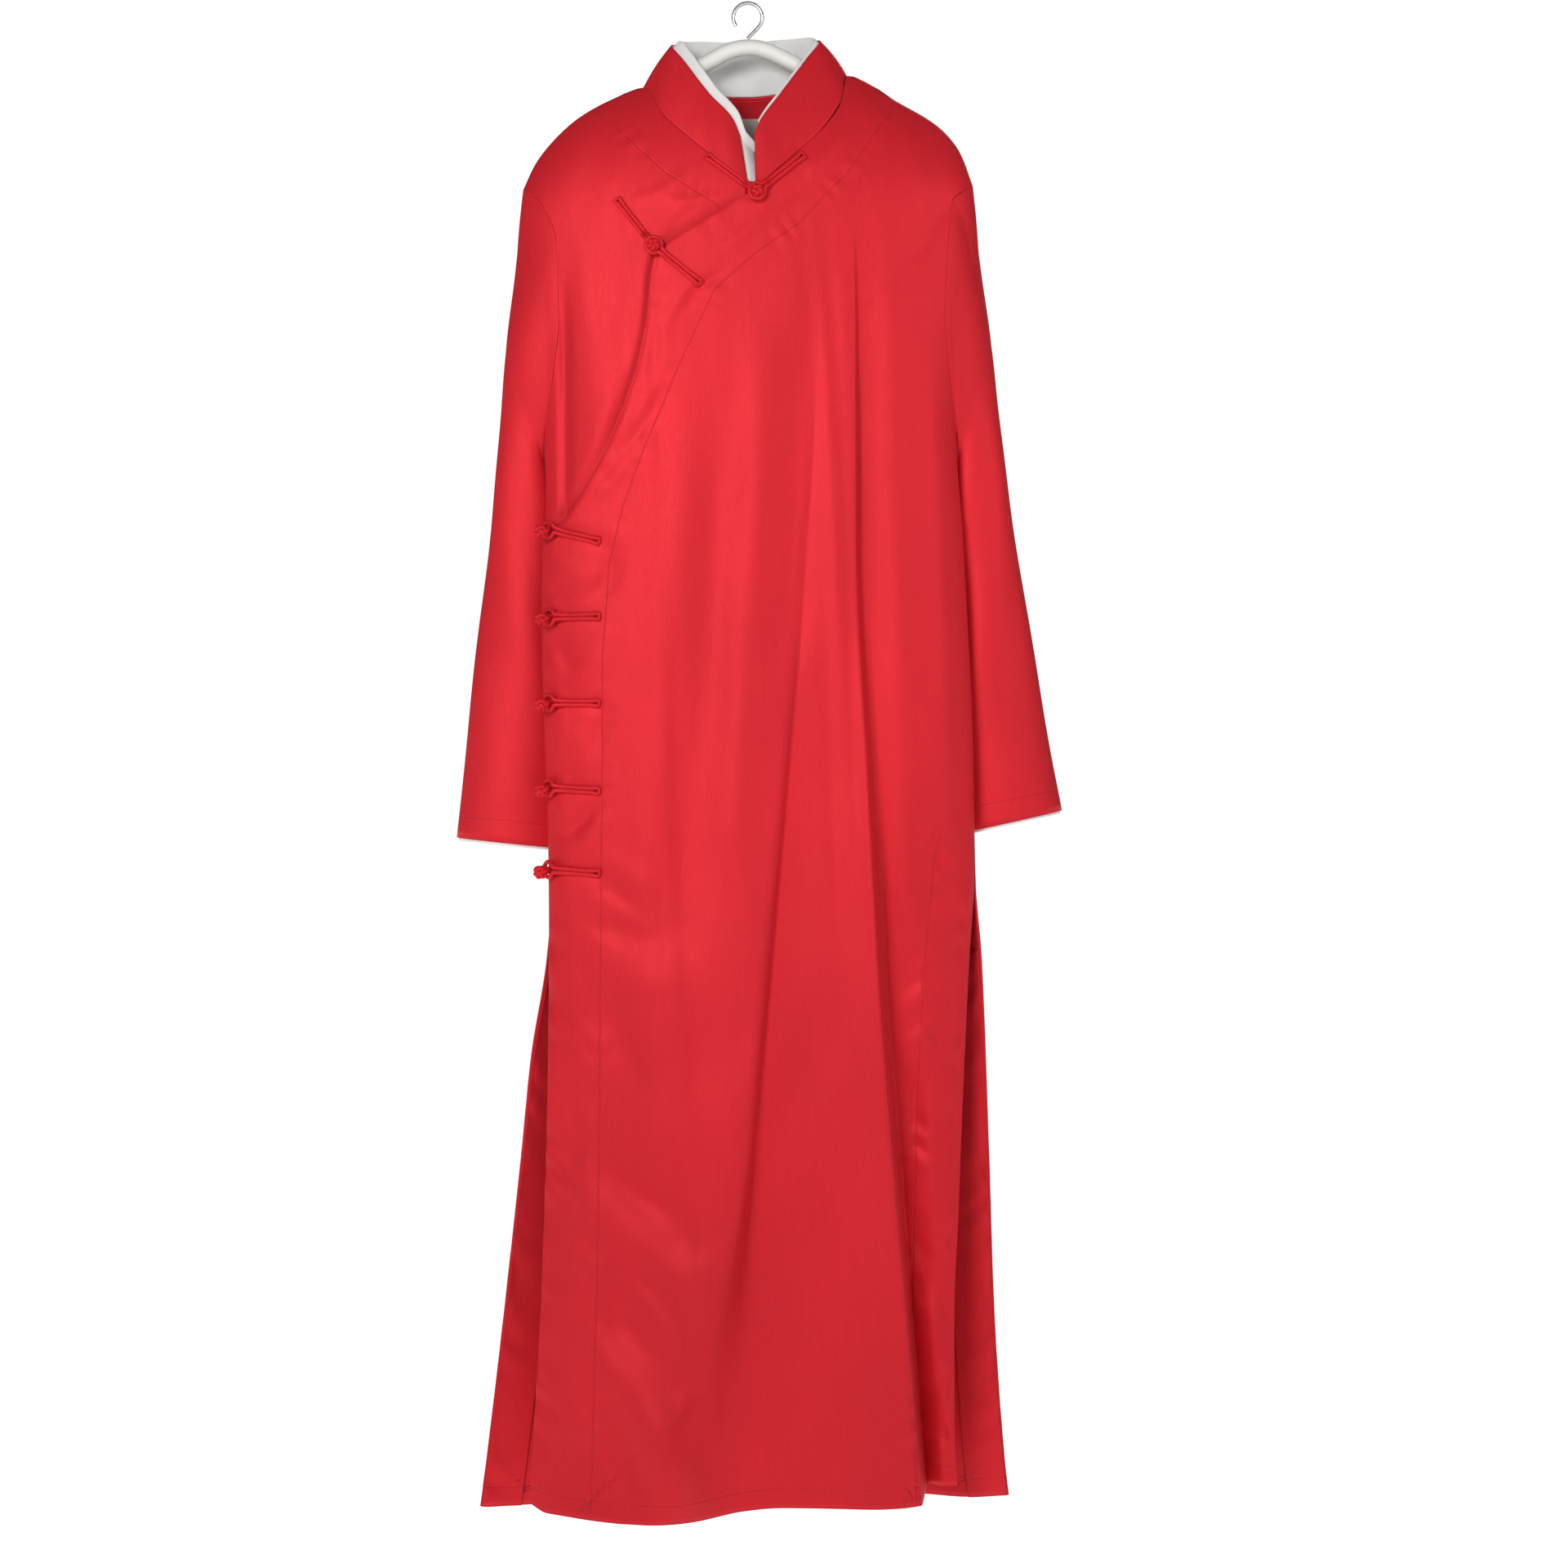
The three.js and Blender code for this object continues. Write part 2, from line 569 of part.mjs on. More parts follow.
// A side edge, through the heights that its rows must meet.
function sideEdge(stops, heights, xAt) {
  return (v) => {
    let i = 0;
    while (i < stops.length - 2 && v > stops[i + 1]) i += 1;
    const t = (v - stops[i]) / (stops[i + 1] - stops[i]);
    const z = mix(heights[i], heights[i + 1], t);
    return { x: xAt(z), z };
  };
}
const above = (armhole, side) => (z) => (z > UNDERARM_Z ? armhole(z) : side(z));

// Values from one stop to the next, so many steps in each span; each stop is met exactly.
function spaced(stops, counts, crowds = []) {
  const out = [stops[0]];
  counts.forEach((count, k) => {
    const crowd = crowds[k] ?? 1;
    for (let i = 1; i <= count; i += 1) {
      const t = i / count;
      const eased = crowd > 0 ? Math.pow(t, crowd) : 1 - Math.pow(1 - t, -crowd);
      out.push(mix(stops[k], stops[k + 1], eased));
    }
  });
  return out;
}

// Where along a row of the outline it crosses the line x = lineX(z).
function crossing(cut, v, lineX) {
  let [low, high] = [0, 1];
  for (let i = 0; i < 40; i += 1) {
    const middle = (low + high) / 2;
    const p = cut(middle, v);
    if (p.x < lineX(p.z)) low = middle;
    else high = middle;
  }
  return (low + high) / 2;
}

// Fills a panel's grid. On its seams the middle surface lies half a gap from the seam's plane.
function panelGrid({ cut, rows, columns, surface, side, onSeam }) {
  const points = rows.map((v, i) =>
    columns(v).map((u, j, all) => {
      const { x, z } = cut(u, v);
      const y = surface(x, z);
      const gap = (side * SEAM) / 2;
      const flat = onSeam(i, j, all.length) ? gap : side * Math.max(side * y, SEAM / 2);
      return new THREE.Vector3(x, flat, z);
    }),
  );
  const count = points[0].length;
  return gridOf(points, { seam: (i, j) => onSeam(i, j, count), facing: -side });
}

// The panels' rows: above the underarm, down to the lap's corner, to the slit and to the hem.
const FRONT_ROWS = { stops: [0, 0.19, 0.275, 0.54, 1], counts: [9, 3, 8, 13] };
const INNER_ROWS = { stops: [0, 0.34, 1], counts: [9, 8] };
const BACK_ROWS = { stops: [0, 0.19, 0.54, 1], counts: [8, 6, 9] };
const FRONT_COLUMNS = [4, 5, 1, 5, 2, 6];
const INNER_COLUMNS = [5, 8];
const BACK_COLUMNS = [3, 2, 10, 2, 3];

const XZ = ["x", "z"];
const lastOf = (table) => table[table.length - 1];

// Columns of the front follow the collar's end and the two leaning folds down to the hem.
const fromCollarEnd = curveThrough([-1440, -600, -184, -60], [-124, -58, 8, 8]);
function frontGrid() {
  const { stops, counts } = FRONT_ROWS;
  const left = sideEdge(
    stops,
    [FRONT_TOP[0].z, UNDERARM_Z, LAP_CORNER_Z, SLIT_Z, FRONT_HEM[0].z],
    (z) => (z > LAP_CORNER_Z ? lapEdge(z) : body.left(z)),
  );
  const right = sideEdge(
    stops,
    [lastOf(FRONT_TOP).z, UNDERARM_Z, LAP_CORNER_Z, SLIT_Z, lastOf(FRONT_HEM).z],
    above(armholes.frontRight, body.right),
  );
  const cut = outline(lineThrough(FRONT_TOP, XZ), lineThrough(FRONT_HEM, XZ), left, right);
  const lines = [
    fromCollarEnd,
    folds.small,
    (z) => folds.small(z) + FOLD_STEP,
    folds.large,
    (z) => folds.large(z) + FOLD_STEP,
  ];
  const spread = (stops) => spaced([0, ...stops, 1], FRONT_COLUMNS, [1.5, 1, 1, 1, 1, -1.5]);
  const atTop = lines.map((line) => crossing(cut, 0, line));
  const columns = (v) => {
    const share = smooth(0, 0.12, v);
    return spread(lines.map((line, k) => mix(atTop[k], crossing(cut, v, line), share)));
  };
  const corner = FRONT_COLUMNS.slice(0, 4).reduce((a, b) => a + b);
  const slitRow = counts.slice(0, 3).reduce((a, b) => a + b);
  const onSeam = (i, j, count) =>
    (i === 0 && j >= corner) || (j === count - 1 && i >= counts[0] && i <= slitRow);
  const rows = spaced(stops, counts, [1.25]);
  const grid = panelGrid({ cut, rows, columns, surface: frontY, side: -1, onSeam });
  return { ...grid, neck: [FRONT_COLUMNS[0], corner], underarm: counts[0] };
}

function innerGrid() {
  const { stops, counts } = INNER_ROWS;
  const left = sideEdge(
    stops,
    [INNER_PANEL_TOP[0].z, UNDERARM_Z, INNER_PANEL_END_Z],
    above(armholes.frontLeft, innerSides.left),
  );
  const right = sideEdge(
    stops,
    [lastOf(INNER_PANEL_TOP).z, UNDERARM_Z, INNER_PANEL_END_Z],
    (z) => mix(0, -82, smooth(-177, -600, z)),
  );
  const bottom = (u) => ({ x: mix(left(1).x, right(1).x, u), z: INNER_PANEL_END_Z });
  const cut = outline(lineThrough(INNER_PANEL_TOP, XZ), bottom, left, right);
  const fromNeck = curveThrough([-845, -300, -79], [-136, -122, -98.5]);
  const columns = (v) => spaced([0, crossing(cut, v, fromNeck), 1], INNER_COLUMNS, [1.4, 1]);
  const onSeam = (i, j) => (i === 0 && j <= INNER_COLUMNS[0]) || (j === 0 && i >= counts[0]);
  const rows = spaced(stops, counts, [1.25]);
  const grid = panelGrid({ cut, rows, columns, surface: innerPanelY, side: -1, onSeam });
  return {
    ...grid,
    neck: [INNER_COLUMNS[0], INNER_COLUMNS[0] + INNER_COLUMNS[1]],
    underarm: counts[0],
  };
}

function backGrid() {
  const { stops, counts } = BACK_ROWS;
  const edges = {
    left: above(armholes.backLeft, flare.left),
    right: above(armholes.backRight, flare.right),
  };
  const heights = (top, hem) => [top, UNDERARM_Z, SLIT_Z, hem];
  const left = sideEdge(stops, heights(BACK_TOP[0].z, BACK_HEM[0].z), edges.left);
  const right = sideEdge(stops, heights(lastOf(BACK_TOP).z, lastOf(BACK_HEM).z), edges.right);
  const cut = outline(lineThrough(BACK_TOP, XZ), lineThrough(BACK_HEM, XZ), left, right);
  const lines = [
    (z) => edges.left(z) + FACING.width,
    curveThrough([-1440, -300, -79], [-130, -112, -98.5]),
    curveThrough([-1440, -300, -68], [128, 112, 94.5]),
    (z) => edges.right(z) - FACING.width,
  ];
  const columns = (v) =>
    spaced([0, ...lines.map((line) => crossing(cut, v, line)), 1], BACK_COLUMNS);
  const [cornerLeft, cornerRight] = [5, 15];
  const onSeam = (i, j, count) =>
    (i === 0 && (j <= cornerLeft || j >= cornerRight)) ||
    ((j === 0 || j === count - 1) && i >= counts[0] && i <= counts[0] + counts[1]);
  const rows = spaced(stops, counts, [1.25]);
  const grid = panelGrid({ cut, rows, columns, surface: backY, side: 1, onSeam });
  return {
    ...grid,
    neck: [cornerLeft, cornerRight],
    underarm: counts[0],
    slit: counts[0] + counts[1],
  };
}

const front = frontGrid();
const inner = innerGrid();
const back = backGrid();

// The height of a grid's own flat triangles over a point of the front view.
function surfaceOf({ points }) {
  const triangles = [];
  for (let i = 0; i < points.length - 1; i += 1) {
    for (let j = 0; j < points[0].length - 1; j += 1) {
      const [a, b] = [points[i][j], points[i + 1][j]];
      const [c, d] = [points[i + 1][j + 1], points[i][j + 1]];
      triangles.push([a, b, c], [a, c, d]);
    }
  }
  return (x, z) => {
    for (const [a, b, c] of triangles) {
      const area = (b.x - a.x) * (c.z - a.z) - (c.x - a.x) * (b.z - a.z);
      const s = ((x - a.x) * (c.z - a.z) - (c.x - a.x) * (z - a.z)) / area;
      const t = ((b.x - a.x) * (z - a.z) - (x - a.x) * (b.z - a.z)) / area;
      if (s >= -1e-6 && t >= -1e-6 && s + t <= 1 + 1e-6) {
        return a.y + s * (b.y - a.y) + t * (c.y - a.y);
      }
    }
    return null;
  };
}
const frontFaces = surfaceOf(front);
const innerFaces = surfaceOf(inner);

// A place on a panel: a point on its middle, the direction out of the cloth, and a way to move.
const FRONT_SIDE = { shape: frontY, faces: frontFaces, side: -1 };
const INNER_SIDE = { shape: innerPanelY, faces: innerFaces, side: -1 };
function outwards({ shape, side }, x, z, reach = 3) {
  const slopeX = (shape(x + reach, z) - shape(x - reach, z)) / (2 * reach);
  const slopeZ = (shape(x, z + reach) - shape(x, z - reach)) / (2 * reach);
  return new THREE.Vector3(-slopeX, 1, -slopeZ).normalize().multiplyScalar(side);
}
const heightOn = (panel, x, z) => panel.faces(x, z) ?? panel.shape(x, z);
const onPanel = (panel, x, z, out) =>
  new THREE.Vector3(x, heightOn(panel, x, z), z).addScaledVector(outwards(panel, x, z), out);

// ---- Sleeves and cuffs ----

// A sleeve starts from the very points of the armhole's edge, front then back.
function sleeveGrid(table, frontEdge, backEdge, sign) {
  const line = columnsOf(table, "t", ["outX", "outY", "outZ", "inX", "inY", "inZ", "half"]);
  const edge = [...frontEdge, ...backEdge.slice(1, -1).reverse()];
  edge[0].setY(0);
  edge[frontEdge.length - 1].setY(0);
  const lengthTo = (from, to) => {
    let sum = 0;
    for (let i = from; i < to; i += 1) sum += edge[i].distanceTo(edge[(i + 1) % edge.length]);
    return sum;
  };
  const [low, all] = [frontEdge.length - 1, edge.length];
  const turns = edge.map((_, j) =>
    j <= low
      ? (Math.PI * lengthTo(0, j)) / lengthTo(0, low)
      : Math.PI * (1 + lengthTo(low, j) / lengthTo(low, all)),
  );
  const points = spaced([0, 1], [15], [1.3]).map((t) =>
    turns.map((angle, j) => {
      const outer = new THREE.Vector3(line.outX(t), line.outY(t), line.outZ(t));
      const under = new THREE.Vector3(line.inX(t), line.inY(t), line.inZ(t));
      const p = outer.clone().add(under).multiplyScalar(0.5);
      p.addScaledVector(outer.clone().sub(under), Math.cos(angle) / 2);
      const fold = 1 + 0.06 * Math.sin(3 * angle + 4 * t) * smooth(0.2, 0.6, t);
      p.y -= line.half(t) * Math.sin(angle) * fold;
      return edge[j].clone().lerp(p, smooth(0, 0.24, t));
    }),
  );
  return gridOf(points, { ring: true, facing: -sign });
}

// Moves an edge point off its panel, square to the edge, by the gap to the next piece.
function offEdge(p, within, before, after, gap) {
  const along = after.clone().sub(before).normalize();
  const away = p.clone().sub(within);
  away.addScaledVector(along, -away.dot(along)).normalize();
  return p.clone().addScaledVector(away, gap);
}
function armholeOf({ points, underarm }, last) {
  const [edge, within] = last ? [-1, -2] : [0, 1];
  return points.slice(0, underarm + 1).map((row, i) => {
    const [before, after] = [points[Math.max(i - 1, 0)].at(edge), points[i + 1].at(edge)];
    const gap = mix(SLEEVE_GAP, UNDERARM_GAP, smooth(0.6, 1, i / underarm));
    return offEdge(row.at(edge), row.at(within), before, after, gap);
  });
}

// The white cuff lining follows the end of the sleeve inside and shows below its edge.
function cuff(grid) {
  const rows = grid.points.length;
  const end = part(grid, [rows - 2, rows], [0]);
  const below = (row) => row.map((p) => p.clone().setZ(p.z - CUFF_SHOWS));
  const layer = (distance) => {
    const points = moved(end, distance);
    return [...points, below(points[1])];
  };
  const gap = CLOTH / 2 + SEAM;
  return between(layer(-gap), layer(-gap - LINING), true);
}

// ---- Collar ----

const COLLAR_RISE = [0, 0.3, 0.65, 1];
function neckline() {
  const along = (grid, from, to, at) => {
    const step = (to - from) / Math.abs(to - from);
    const count = Math.abs(to - from);
    return Array.from({ length: count + 1 }, (_, k) => {
      const [row, j] = [grid.points[0], from + step * k];
      const before = row[Math.max(j - 1, 0)];
      const after = row[Math.min(j + 1, row.length - 1)];
      const place = at + k / count;
      const gap = mix(COLLAR_CORNER_GAP, COLLAR_GAP, smooth(0.15, 0.45, Math.abs(place - 2.12)));
      return { at: place, p: offEdge(row[j], grid.points[1][j], before, after, gap) };
    });
  };
  const right = along(inner, inner.neck[1], inner.neck[0], 0);
  const behind = along(back, back.neck[0], back.neck[1], 1).slice(1, -1);
  const left = along(front, front.neck[1], front.neck[0], 2);
  return [...right, ...behind, ...left];
}
function collarGrid() {
  const top = columnsOf(COLLAR_TOP, "at", ["x", "y", "z"]);
  const line = neckline();
  const points = COLLAR_RISE.map((h) =>
    line.map(({ at, p }) => p.clone().lerp(new THREE.Vector3(top.x(at), top.y(at), top.z(at)), h)),
  );
  return { ...gridOf(points, { facing: 1 }), places: line.map(({ at }) => at) };
}
function collarLining(grid) {
  const gap = CLOTH / 2 + SEAM + 0.35;
  const layer = (distance) => {
    const rows = moved(grid, distance);
    const [low, next] = [rows[0], rows[1]];
    const foot = low.map((p, j) => p.clone().lerp(next[j], 0.45));
    const last = rows.length - 1;
    const brim = rows[last].map((p, j) => {
      const up = p.clone().sub(rows[last - 1][j]).normalize();
      const rest = smooth(0.85, 1.15, grid.places[j]);
      const above = mix(COLLAR_LINING.overlapped, COLLAR_LINING.above, rest);
      return p.clone().addScaledVector(up, above);
    });
    const all = [foot, ...rows.slice(1), brim];
    return all.map((row) => {
      const on = row[0].clone().sub(row[1]).normalize();
      return [row[0].clone().addScaledVector(on, COLLAR_LINING.past), ...row.slice(0, -1)];
    });
  };
  return between(layer(-gap), layer(-gap - LINING));
}

// ---- Frog fastenings ----

// A strap of two cords side by side, laid along a list of stations.
function strap(stations) {
  const { half, thick, groove } = STRAP;
  const profile = [
    [0, groove],
    [half * 0.36, thick],
    [half * 0.72, thick],
    [half, thick * 0.55],
    [half, 0],
    [-half, 0],
    [-half, thick * 0.55],
    [-half * 0.72, thick],
    [-half * 0.36, thick],
  ];
  const rings = stations.map(({ p, along, out, wide }) => {
    const over = along.clone().cross(out).normalize();
    return profile.map(([w, h]) =>
      p.clone().addScaledVector(over, w * wide).addScaledVector(out, h),
    );
  });
  return bar(rings);
}

// Stations from near a knot to a strap's end, following the panel. `lift` raises the knot's end,
// fully for `level` millimetres and then falling to the panel.
function strapAlong(panel, from, to, { start, lift, level }) {
  const count = 6;
  const run = Math.hypot(to.x - from.x, to.z - from.z);
  const place = (distance, more = 0) => {
    const t = distance / run;
    const raised = lift * smooth(start + level + 12, start + level, distance);
    const base = CLOTH / 2 + STRAP.clear + raised;
    return onPanel(panel, mix(from.x, to.x, t), mix(from.z, to.z, t), base + more);
  };
  return spaced([start, run], [count], [1.15]).map((distance, i) => {
    const p = place(distance);
    const out = place(distance, 1).sub(p).normalize();
    const along = place(distance + 2).sub(place(distance - 2)).normalize();
    return { p, along, out, wide: i === count ? STRAP.flare : 1 };
  });
}

// Where a knot stands: its foot on the cloth's outer face and the way its ring and ball look.
function standing(panel, x, z, turn = 0) {
  const foot = onPanel(panel, x, z, CLOTH / 2);
  const out = outwards(panel, x, z);
  out.applyAxisAngle(new THREE.Vector3(0, 0, 1), THREE.MathUtils.degToRad(-turn));
  return { foot, out };
}
function ringOn({ foot, out }) {
  const ring = new THREE.TorusGeometry(RING.radius, RING.wire, RING.sides, RING.steps);
  ring.applyQuaternion(
    new THREE.Quaternion().setFromUnitVectors(new THREE.Vector3(0, 0, 1), out),
  );
  const centre = foot.clone().addScaledVector(out, RING.height);
  return ring.translate(centre.x, centre.y, centre.z);
}
function ballOn({ foot, out }, height) {
  const centre = foot.clone().addScaledVector(out, height);
  return new THREE.SphereGeometry(KNOT.radius, 10, 7).translate(centre.x, centre.y, centre.z);
}
function cordThrough(points, radius) {
  return new THREE.ExtrudeGeometry(new THREE.Shape().absarc(0, 0, radius, 0, 2 * Math.PI), {
    extrudePath: new THREE.CatmullRomCurve3(points),
    steps: 7,
    curveSegments: 4,
    bevelEnabled: false,
  });
}

const ringReach = { start: RING.radius - 0.6, lift: RING.height - STRAP.thick, level: 1 };
const sideReach = { ...ringReach, start: 1.6, level: 2 };
function frontFrog({ x, z, loopX, loopZ, knotX, knotZ }) {
  const knot = { x, z };
  const at = standing(FRONT_SIDE, x, z);
  const over = innerPanelY(x, z) - heightOn(FRONT_SIDE, x, z);
  const knotReach = { start: 0, lift: over + 0.3, level: 9 };
  return {
    loop: joined(
      strap(strapAlong(FRONT_SIDE, knot, { x: loopX, z: loopZ }, ringReach)),
      ringOn(at),
    ),
    knot: joined(
      strap(strapAlong(INNER_SIDE, knot, { x: knotX, z: knotZ }, knotReach)),
      ballOn(at, KNOT.height),
    ),
  };
}
// At the side the knot's own cord runs back under the ring and round the front's edge.
function sideFrog({ z, loopZ, cordDip }) {
  const at = standing(FRONT_SIDE, SIDE_FROG.ringX, z, SIDE_FROG.turn);
  const end = { x: SIDE_FROG.endX, z: loopZ };
  const [edge, cord] = [body.left(z), KNOT.cord];
  const above = (x, out) => onPanel(FRONT_SIDE, x, z, CLOTH / 2 + out);
  const cordPoints = [
    at.foot.clone().addScaledVector(at.out, KNOT.sideHeight - 2),
    at.foot.clone().addScaledVector(at.out, 5.5),
    above(SIDE_FROG.ringX - 2.2, cord + 0.6 - cordDip / 4),
    above(edge + 4, cord + 0.6 - cordDip),
    new THREE.Vector3(edge - 2.6, heightOn(FRONT_SIDE, edge + 1, z) - 0.5, z),
    new THREE.Vector3(edge - 2.4, -1.8, z),
  ];
  return {
    loop: joined(
      strap(strapAlong(FRONT_SIDE, { x: SIDE_FROG.ringX, z }, end, sideReach)),
      ringOn(at),
    ),
    knot: joined(ballOn(at, KNOT.sideHeight), cordThrough(cordPoints, cord)),
  };
}

// ---- What lies on the inside of the back ----

function slitFacing(side) {
  const count = back.points[0].length;
  const rows = [back.slit + 1, back.points.length];
  const strip = part(back, rows, side === "left" ? [0, 4] : [count - 4, count]);
  const inset = (points) =>
    points.map((row) => {
      const out = row.map((p) => p.clone());
      const edge = side === "left" ? 0 : out.length - 1;
      out[edge].lerp(out[side === "left" ? 1 : edge - 1], 0.15);
      return out;
    });
  const gap = CLOTH / 2 + SEAM + 0.4;
  return between(inset(moved(strip, -gap)), inset(moved(strip, -gap - FACING.thick)));
}
function label() {
  const faces = surfaceOf(back);
  const layer = (distance) =>
    spaced([0, 1], [3]).map((v) =>
      spaced([-0.5, 0.5], [4]).map((u) => {
        const [x, z] = [LABEL.x + u * LABEL.width, LABEL.z - v * LABEL.height];
        const out = outwards({ shape: backY, side: 1 }, x, z);
        return new THREE.Vector3(x, faces(x, z), z).addScaledVector(out, distance);
      }),
    );
  const gap = CLOTH / 2 + SEAM + 0.5;
  return between(layer(-gap), layer(-gap - LABEL.thick));
}

// ---- Hanger ----

function hangerArms() {
  const line = lineThrough(HANGER_LINE, XZ);
  const rings = spaced([0, 1], [HANGER.steps]).map((s) => {
    const here = line(s);
    const [before, after] = [line(Math.max(0, s - 0.01)), line(Math.min(1, s + 0.01))];
    const along = new THREE.Vector3(after.x - before.x, 0, after.z - before.z).normalize();
    const up = new THREE.Vector3(-along.z, 0, along.x);
    const size = Math.sqrt(clamp(Math.min(s, 1 - s) / 0.04, 0.25, 1));
    return angles(HANGER.sides).map((angle) =>
      new THREE.Vector3(here.x, Math.sin(angle) * HANGER.halfDepth * size, here.z).addScaledVector(
        up,
        Math.cos(angle) * HANGER.halfHeight * size,
      ),
    );
  });
  return bar(rings);
}
function hangerHook() {
  const { radius, wire, stemFoot } = HOOK;
  const onCircle = (degrees) => {
    const a = THREE.MathUtils.degToRad(degrees);
    return new THREE.Vector3(radius * Math.cos(a), 0, wire - radius + radius * Math.sin(a));
  };
  const path = new THREE.CatmullRomCurve3([
    new THREE.Vector3(0, 0, stemFoot),
    new THREE.Vector3(1.2, 0, stemFoot + 1.6),
    ...[-50, -20, 10, 40, 70, 100, 130, 160, 190, 215].map(onCircle),
  ]);
  return new THREE.ExtrudeGeometry(new THREE.Shape().absarc(0, 0, wire, 0, 2 * Math.PI), {
    extrudePath: path,
    steps: HOOK.steps,
    curveSegments: HOOK.sides,
    bevelEnabled: false,
  });
}

// ---- The robe ----

const satin = new THREE.MeshStandardMaterial({ color: 0xd92632, roughness: 0.42 });
const trim = new THREE.MeshStandardMaterial({ color: 0xc81f2b, roughness: 0.5 });
const cotton = new THREE.MeshStandardMaterial({ color: 0xf2f0ee, roughness: 0.85 });
const tape = new THREE.MeshStandardMaterial({ color: 0xd9cfc0, roughness: 0.9 });
const plastic = new THREE.MeshStandardMaterial({ color: 0xf4f3ee, roughness: 0.45 });
const steel = new THREE.MeshStandardMaterial({ color: 0xe9e9e8, roughness: 0.35, metalness: 0.2 });

const robe = new THREE.Group();
function add(name, geometry, material) {
  const mesh = new THREE.Mesh(geometry, material);
  mesh.name = name;
  robe.add(mesh);
}

add("front_panel", wall(front), satin);
add("inner_panel", wall(inner), satin);
add("back_panel", wall(back), satin);

const rightSleeve = sleeveGrid(RIGHT_SLEEVE, armholeOf(inner, false), armholeOf(back, false), -1);
const leftSleeve = sleeveGrid(LEFT_SLEEVE, armholeOf(front, true), armholeOf(back, true), 1);
add("right_sleeve", wall(rightSleeve), satin);
add("left_sleeve", wall(leftSleeve), satin);
add("right_cuff_lining", cuff(rightSleeve), cotton);
add("left_cuff_lining", cuff(leftSleeve), cotton);

const collar = collarGrid();
add("collar", wall(collar), satin);
add("collar_lining", collarLining(collar), cotton);
add("right_slit_facing", slitFacing("left"), satin);
add("left_slit_facing", slitFacing("right"), satin);
add("neck_label", label(), tape);

FRONT_FROGS.forEach((row) => {
  const { loop, knot } = frontFrog(row);
  add(`frog_${row.name}_loop`, loop, trim);
  add(`frog_${row.name}_knot`, knot, trim);
});
SIDE_FROGS.forEach((row) => {
  const { loop, knot } = sideFrog(row);
  add(`frog_${row.name}_loop`, loop, trim);
  add(`frog_${row.name}_knot`, knot, trim);
});

add("hanger_arms", hangerArms(), plastic);
add("hanger_hook", hangerHook(), steel);

export default robe;
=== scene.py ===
"""A Chinese long robe on its hanger: the satin shells with their folds and creases, the stand
collar and its white lining, the seven frog fastenings and a plain studio.

Lengths in the tables are millimetres. +X is the wearer's left, +Y the back and +Z up; the origin is
where the rail bears in the hanger's hook.
"""

import math

import bpy
import numpy as np
from bpy.props import FloatProperty, FloatVectorProperty, PointerProperty
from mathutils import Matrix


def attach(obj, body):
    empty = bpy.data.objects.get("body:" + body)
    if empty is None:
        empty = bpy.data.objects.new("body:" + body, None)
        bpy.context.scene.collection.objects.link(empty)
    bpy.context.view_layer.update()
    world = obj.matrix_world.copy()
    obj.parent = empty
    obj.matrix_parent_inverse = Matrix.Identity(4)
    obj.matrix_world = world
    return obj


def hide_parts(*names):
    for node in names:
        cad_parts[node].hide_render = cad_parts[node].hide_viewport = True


bl_info = {
    "name": "Long robe",
    "version": (1, 0, 0),
    "blender": (4, 5, 0),
    "location": "3D View > Sidebar > Robe",
    "description": "Builds a satin long robe with frog fastenings on a plain hanger",
    "category": "Add Mesh",
}

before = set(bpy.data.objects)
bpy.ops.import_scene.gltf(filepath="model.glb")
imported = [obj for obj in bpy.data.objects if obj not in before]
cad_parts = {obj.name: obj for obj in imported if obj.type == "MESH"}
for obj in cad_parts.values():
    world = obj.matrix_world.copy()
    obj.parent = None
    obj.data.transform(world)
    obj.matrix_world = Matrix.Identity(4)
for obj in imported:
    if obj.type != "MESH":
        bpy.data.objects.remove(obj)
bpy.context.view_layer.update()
MM = 0.001

# ---- Driving sizes, in millimetres ----

CLOTH = 1.6
LINING = 1.2
SEAM = 0.3
LAP = 5.0
UNDERARM_Z = -402.0
LAP_CORNER_Z = -508.0
SLIT_Z = -830.0
INNER_PANEL_END_Z = -845.0
LAP_OVERHANG = 3.0
FRONT_SHOULDER = 30.0
BACK_SHOULDER = 16.0
FLATNESS = 2.6
ROUND_SIDE = 0.6
OPEN_SIDE = 0.9
COLLAR_GAP = 0.35
COLLAR_CORNER_GAP = 1.2
PLACE_LENGTH = 150  # of the collar, between whole numbers of COLLAR_TOP's "at"
LINING_ABOVE = 4.0
SLEEVE_GAP = 0.35
UNDERARM_GAP = 1.3
CUFF_SHOWS = 2.5
EDGE_FADE = 3.0
SIDE_FADE = 4.5
FOLD_STEP = 5.0
FOLD_SPREAD = 0.35
FACING_WIDTH = 38.0
FACING_THICK = 0.9
FACING_LOOSE = 0.4
HEM_DEPTH = 18.5
CUFF_HEM = 21.0
CUFF_ROWS = 9
CUFF_END_ROWS = 3

# ---- Tables: the first line names the columns ----


def table(names, *rows):
    return dict(zip(names.split(), np.array(rows, float).T))


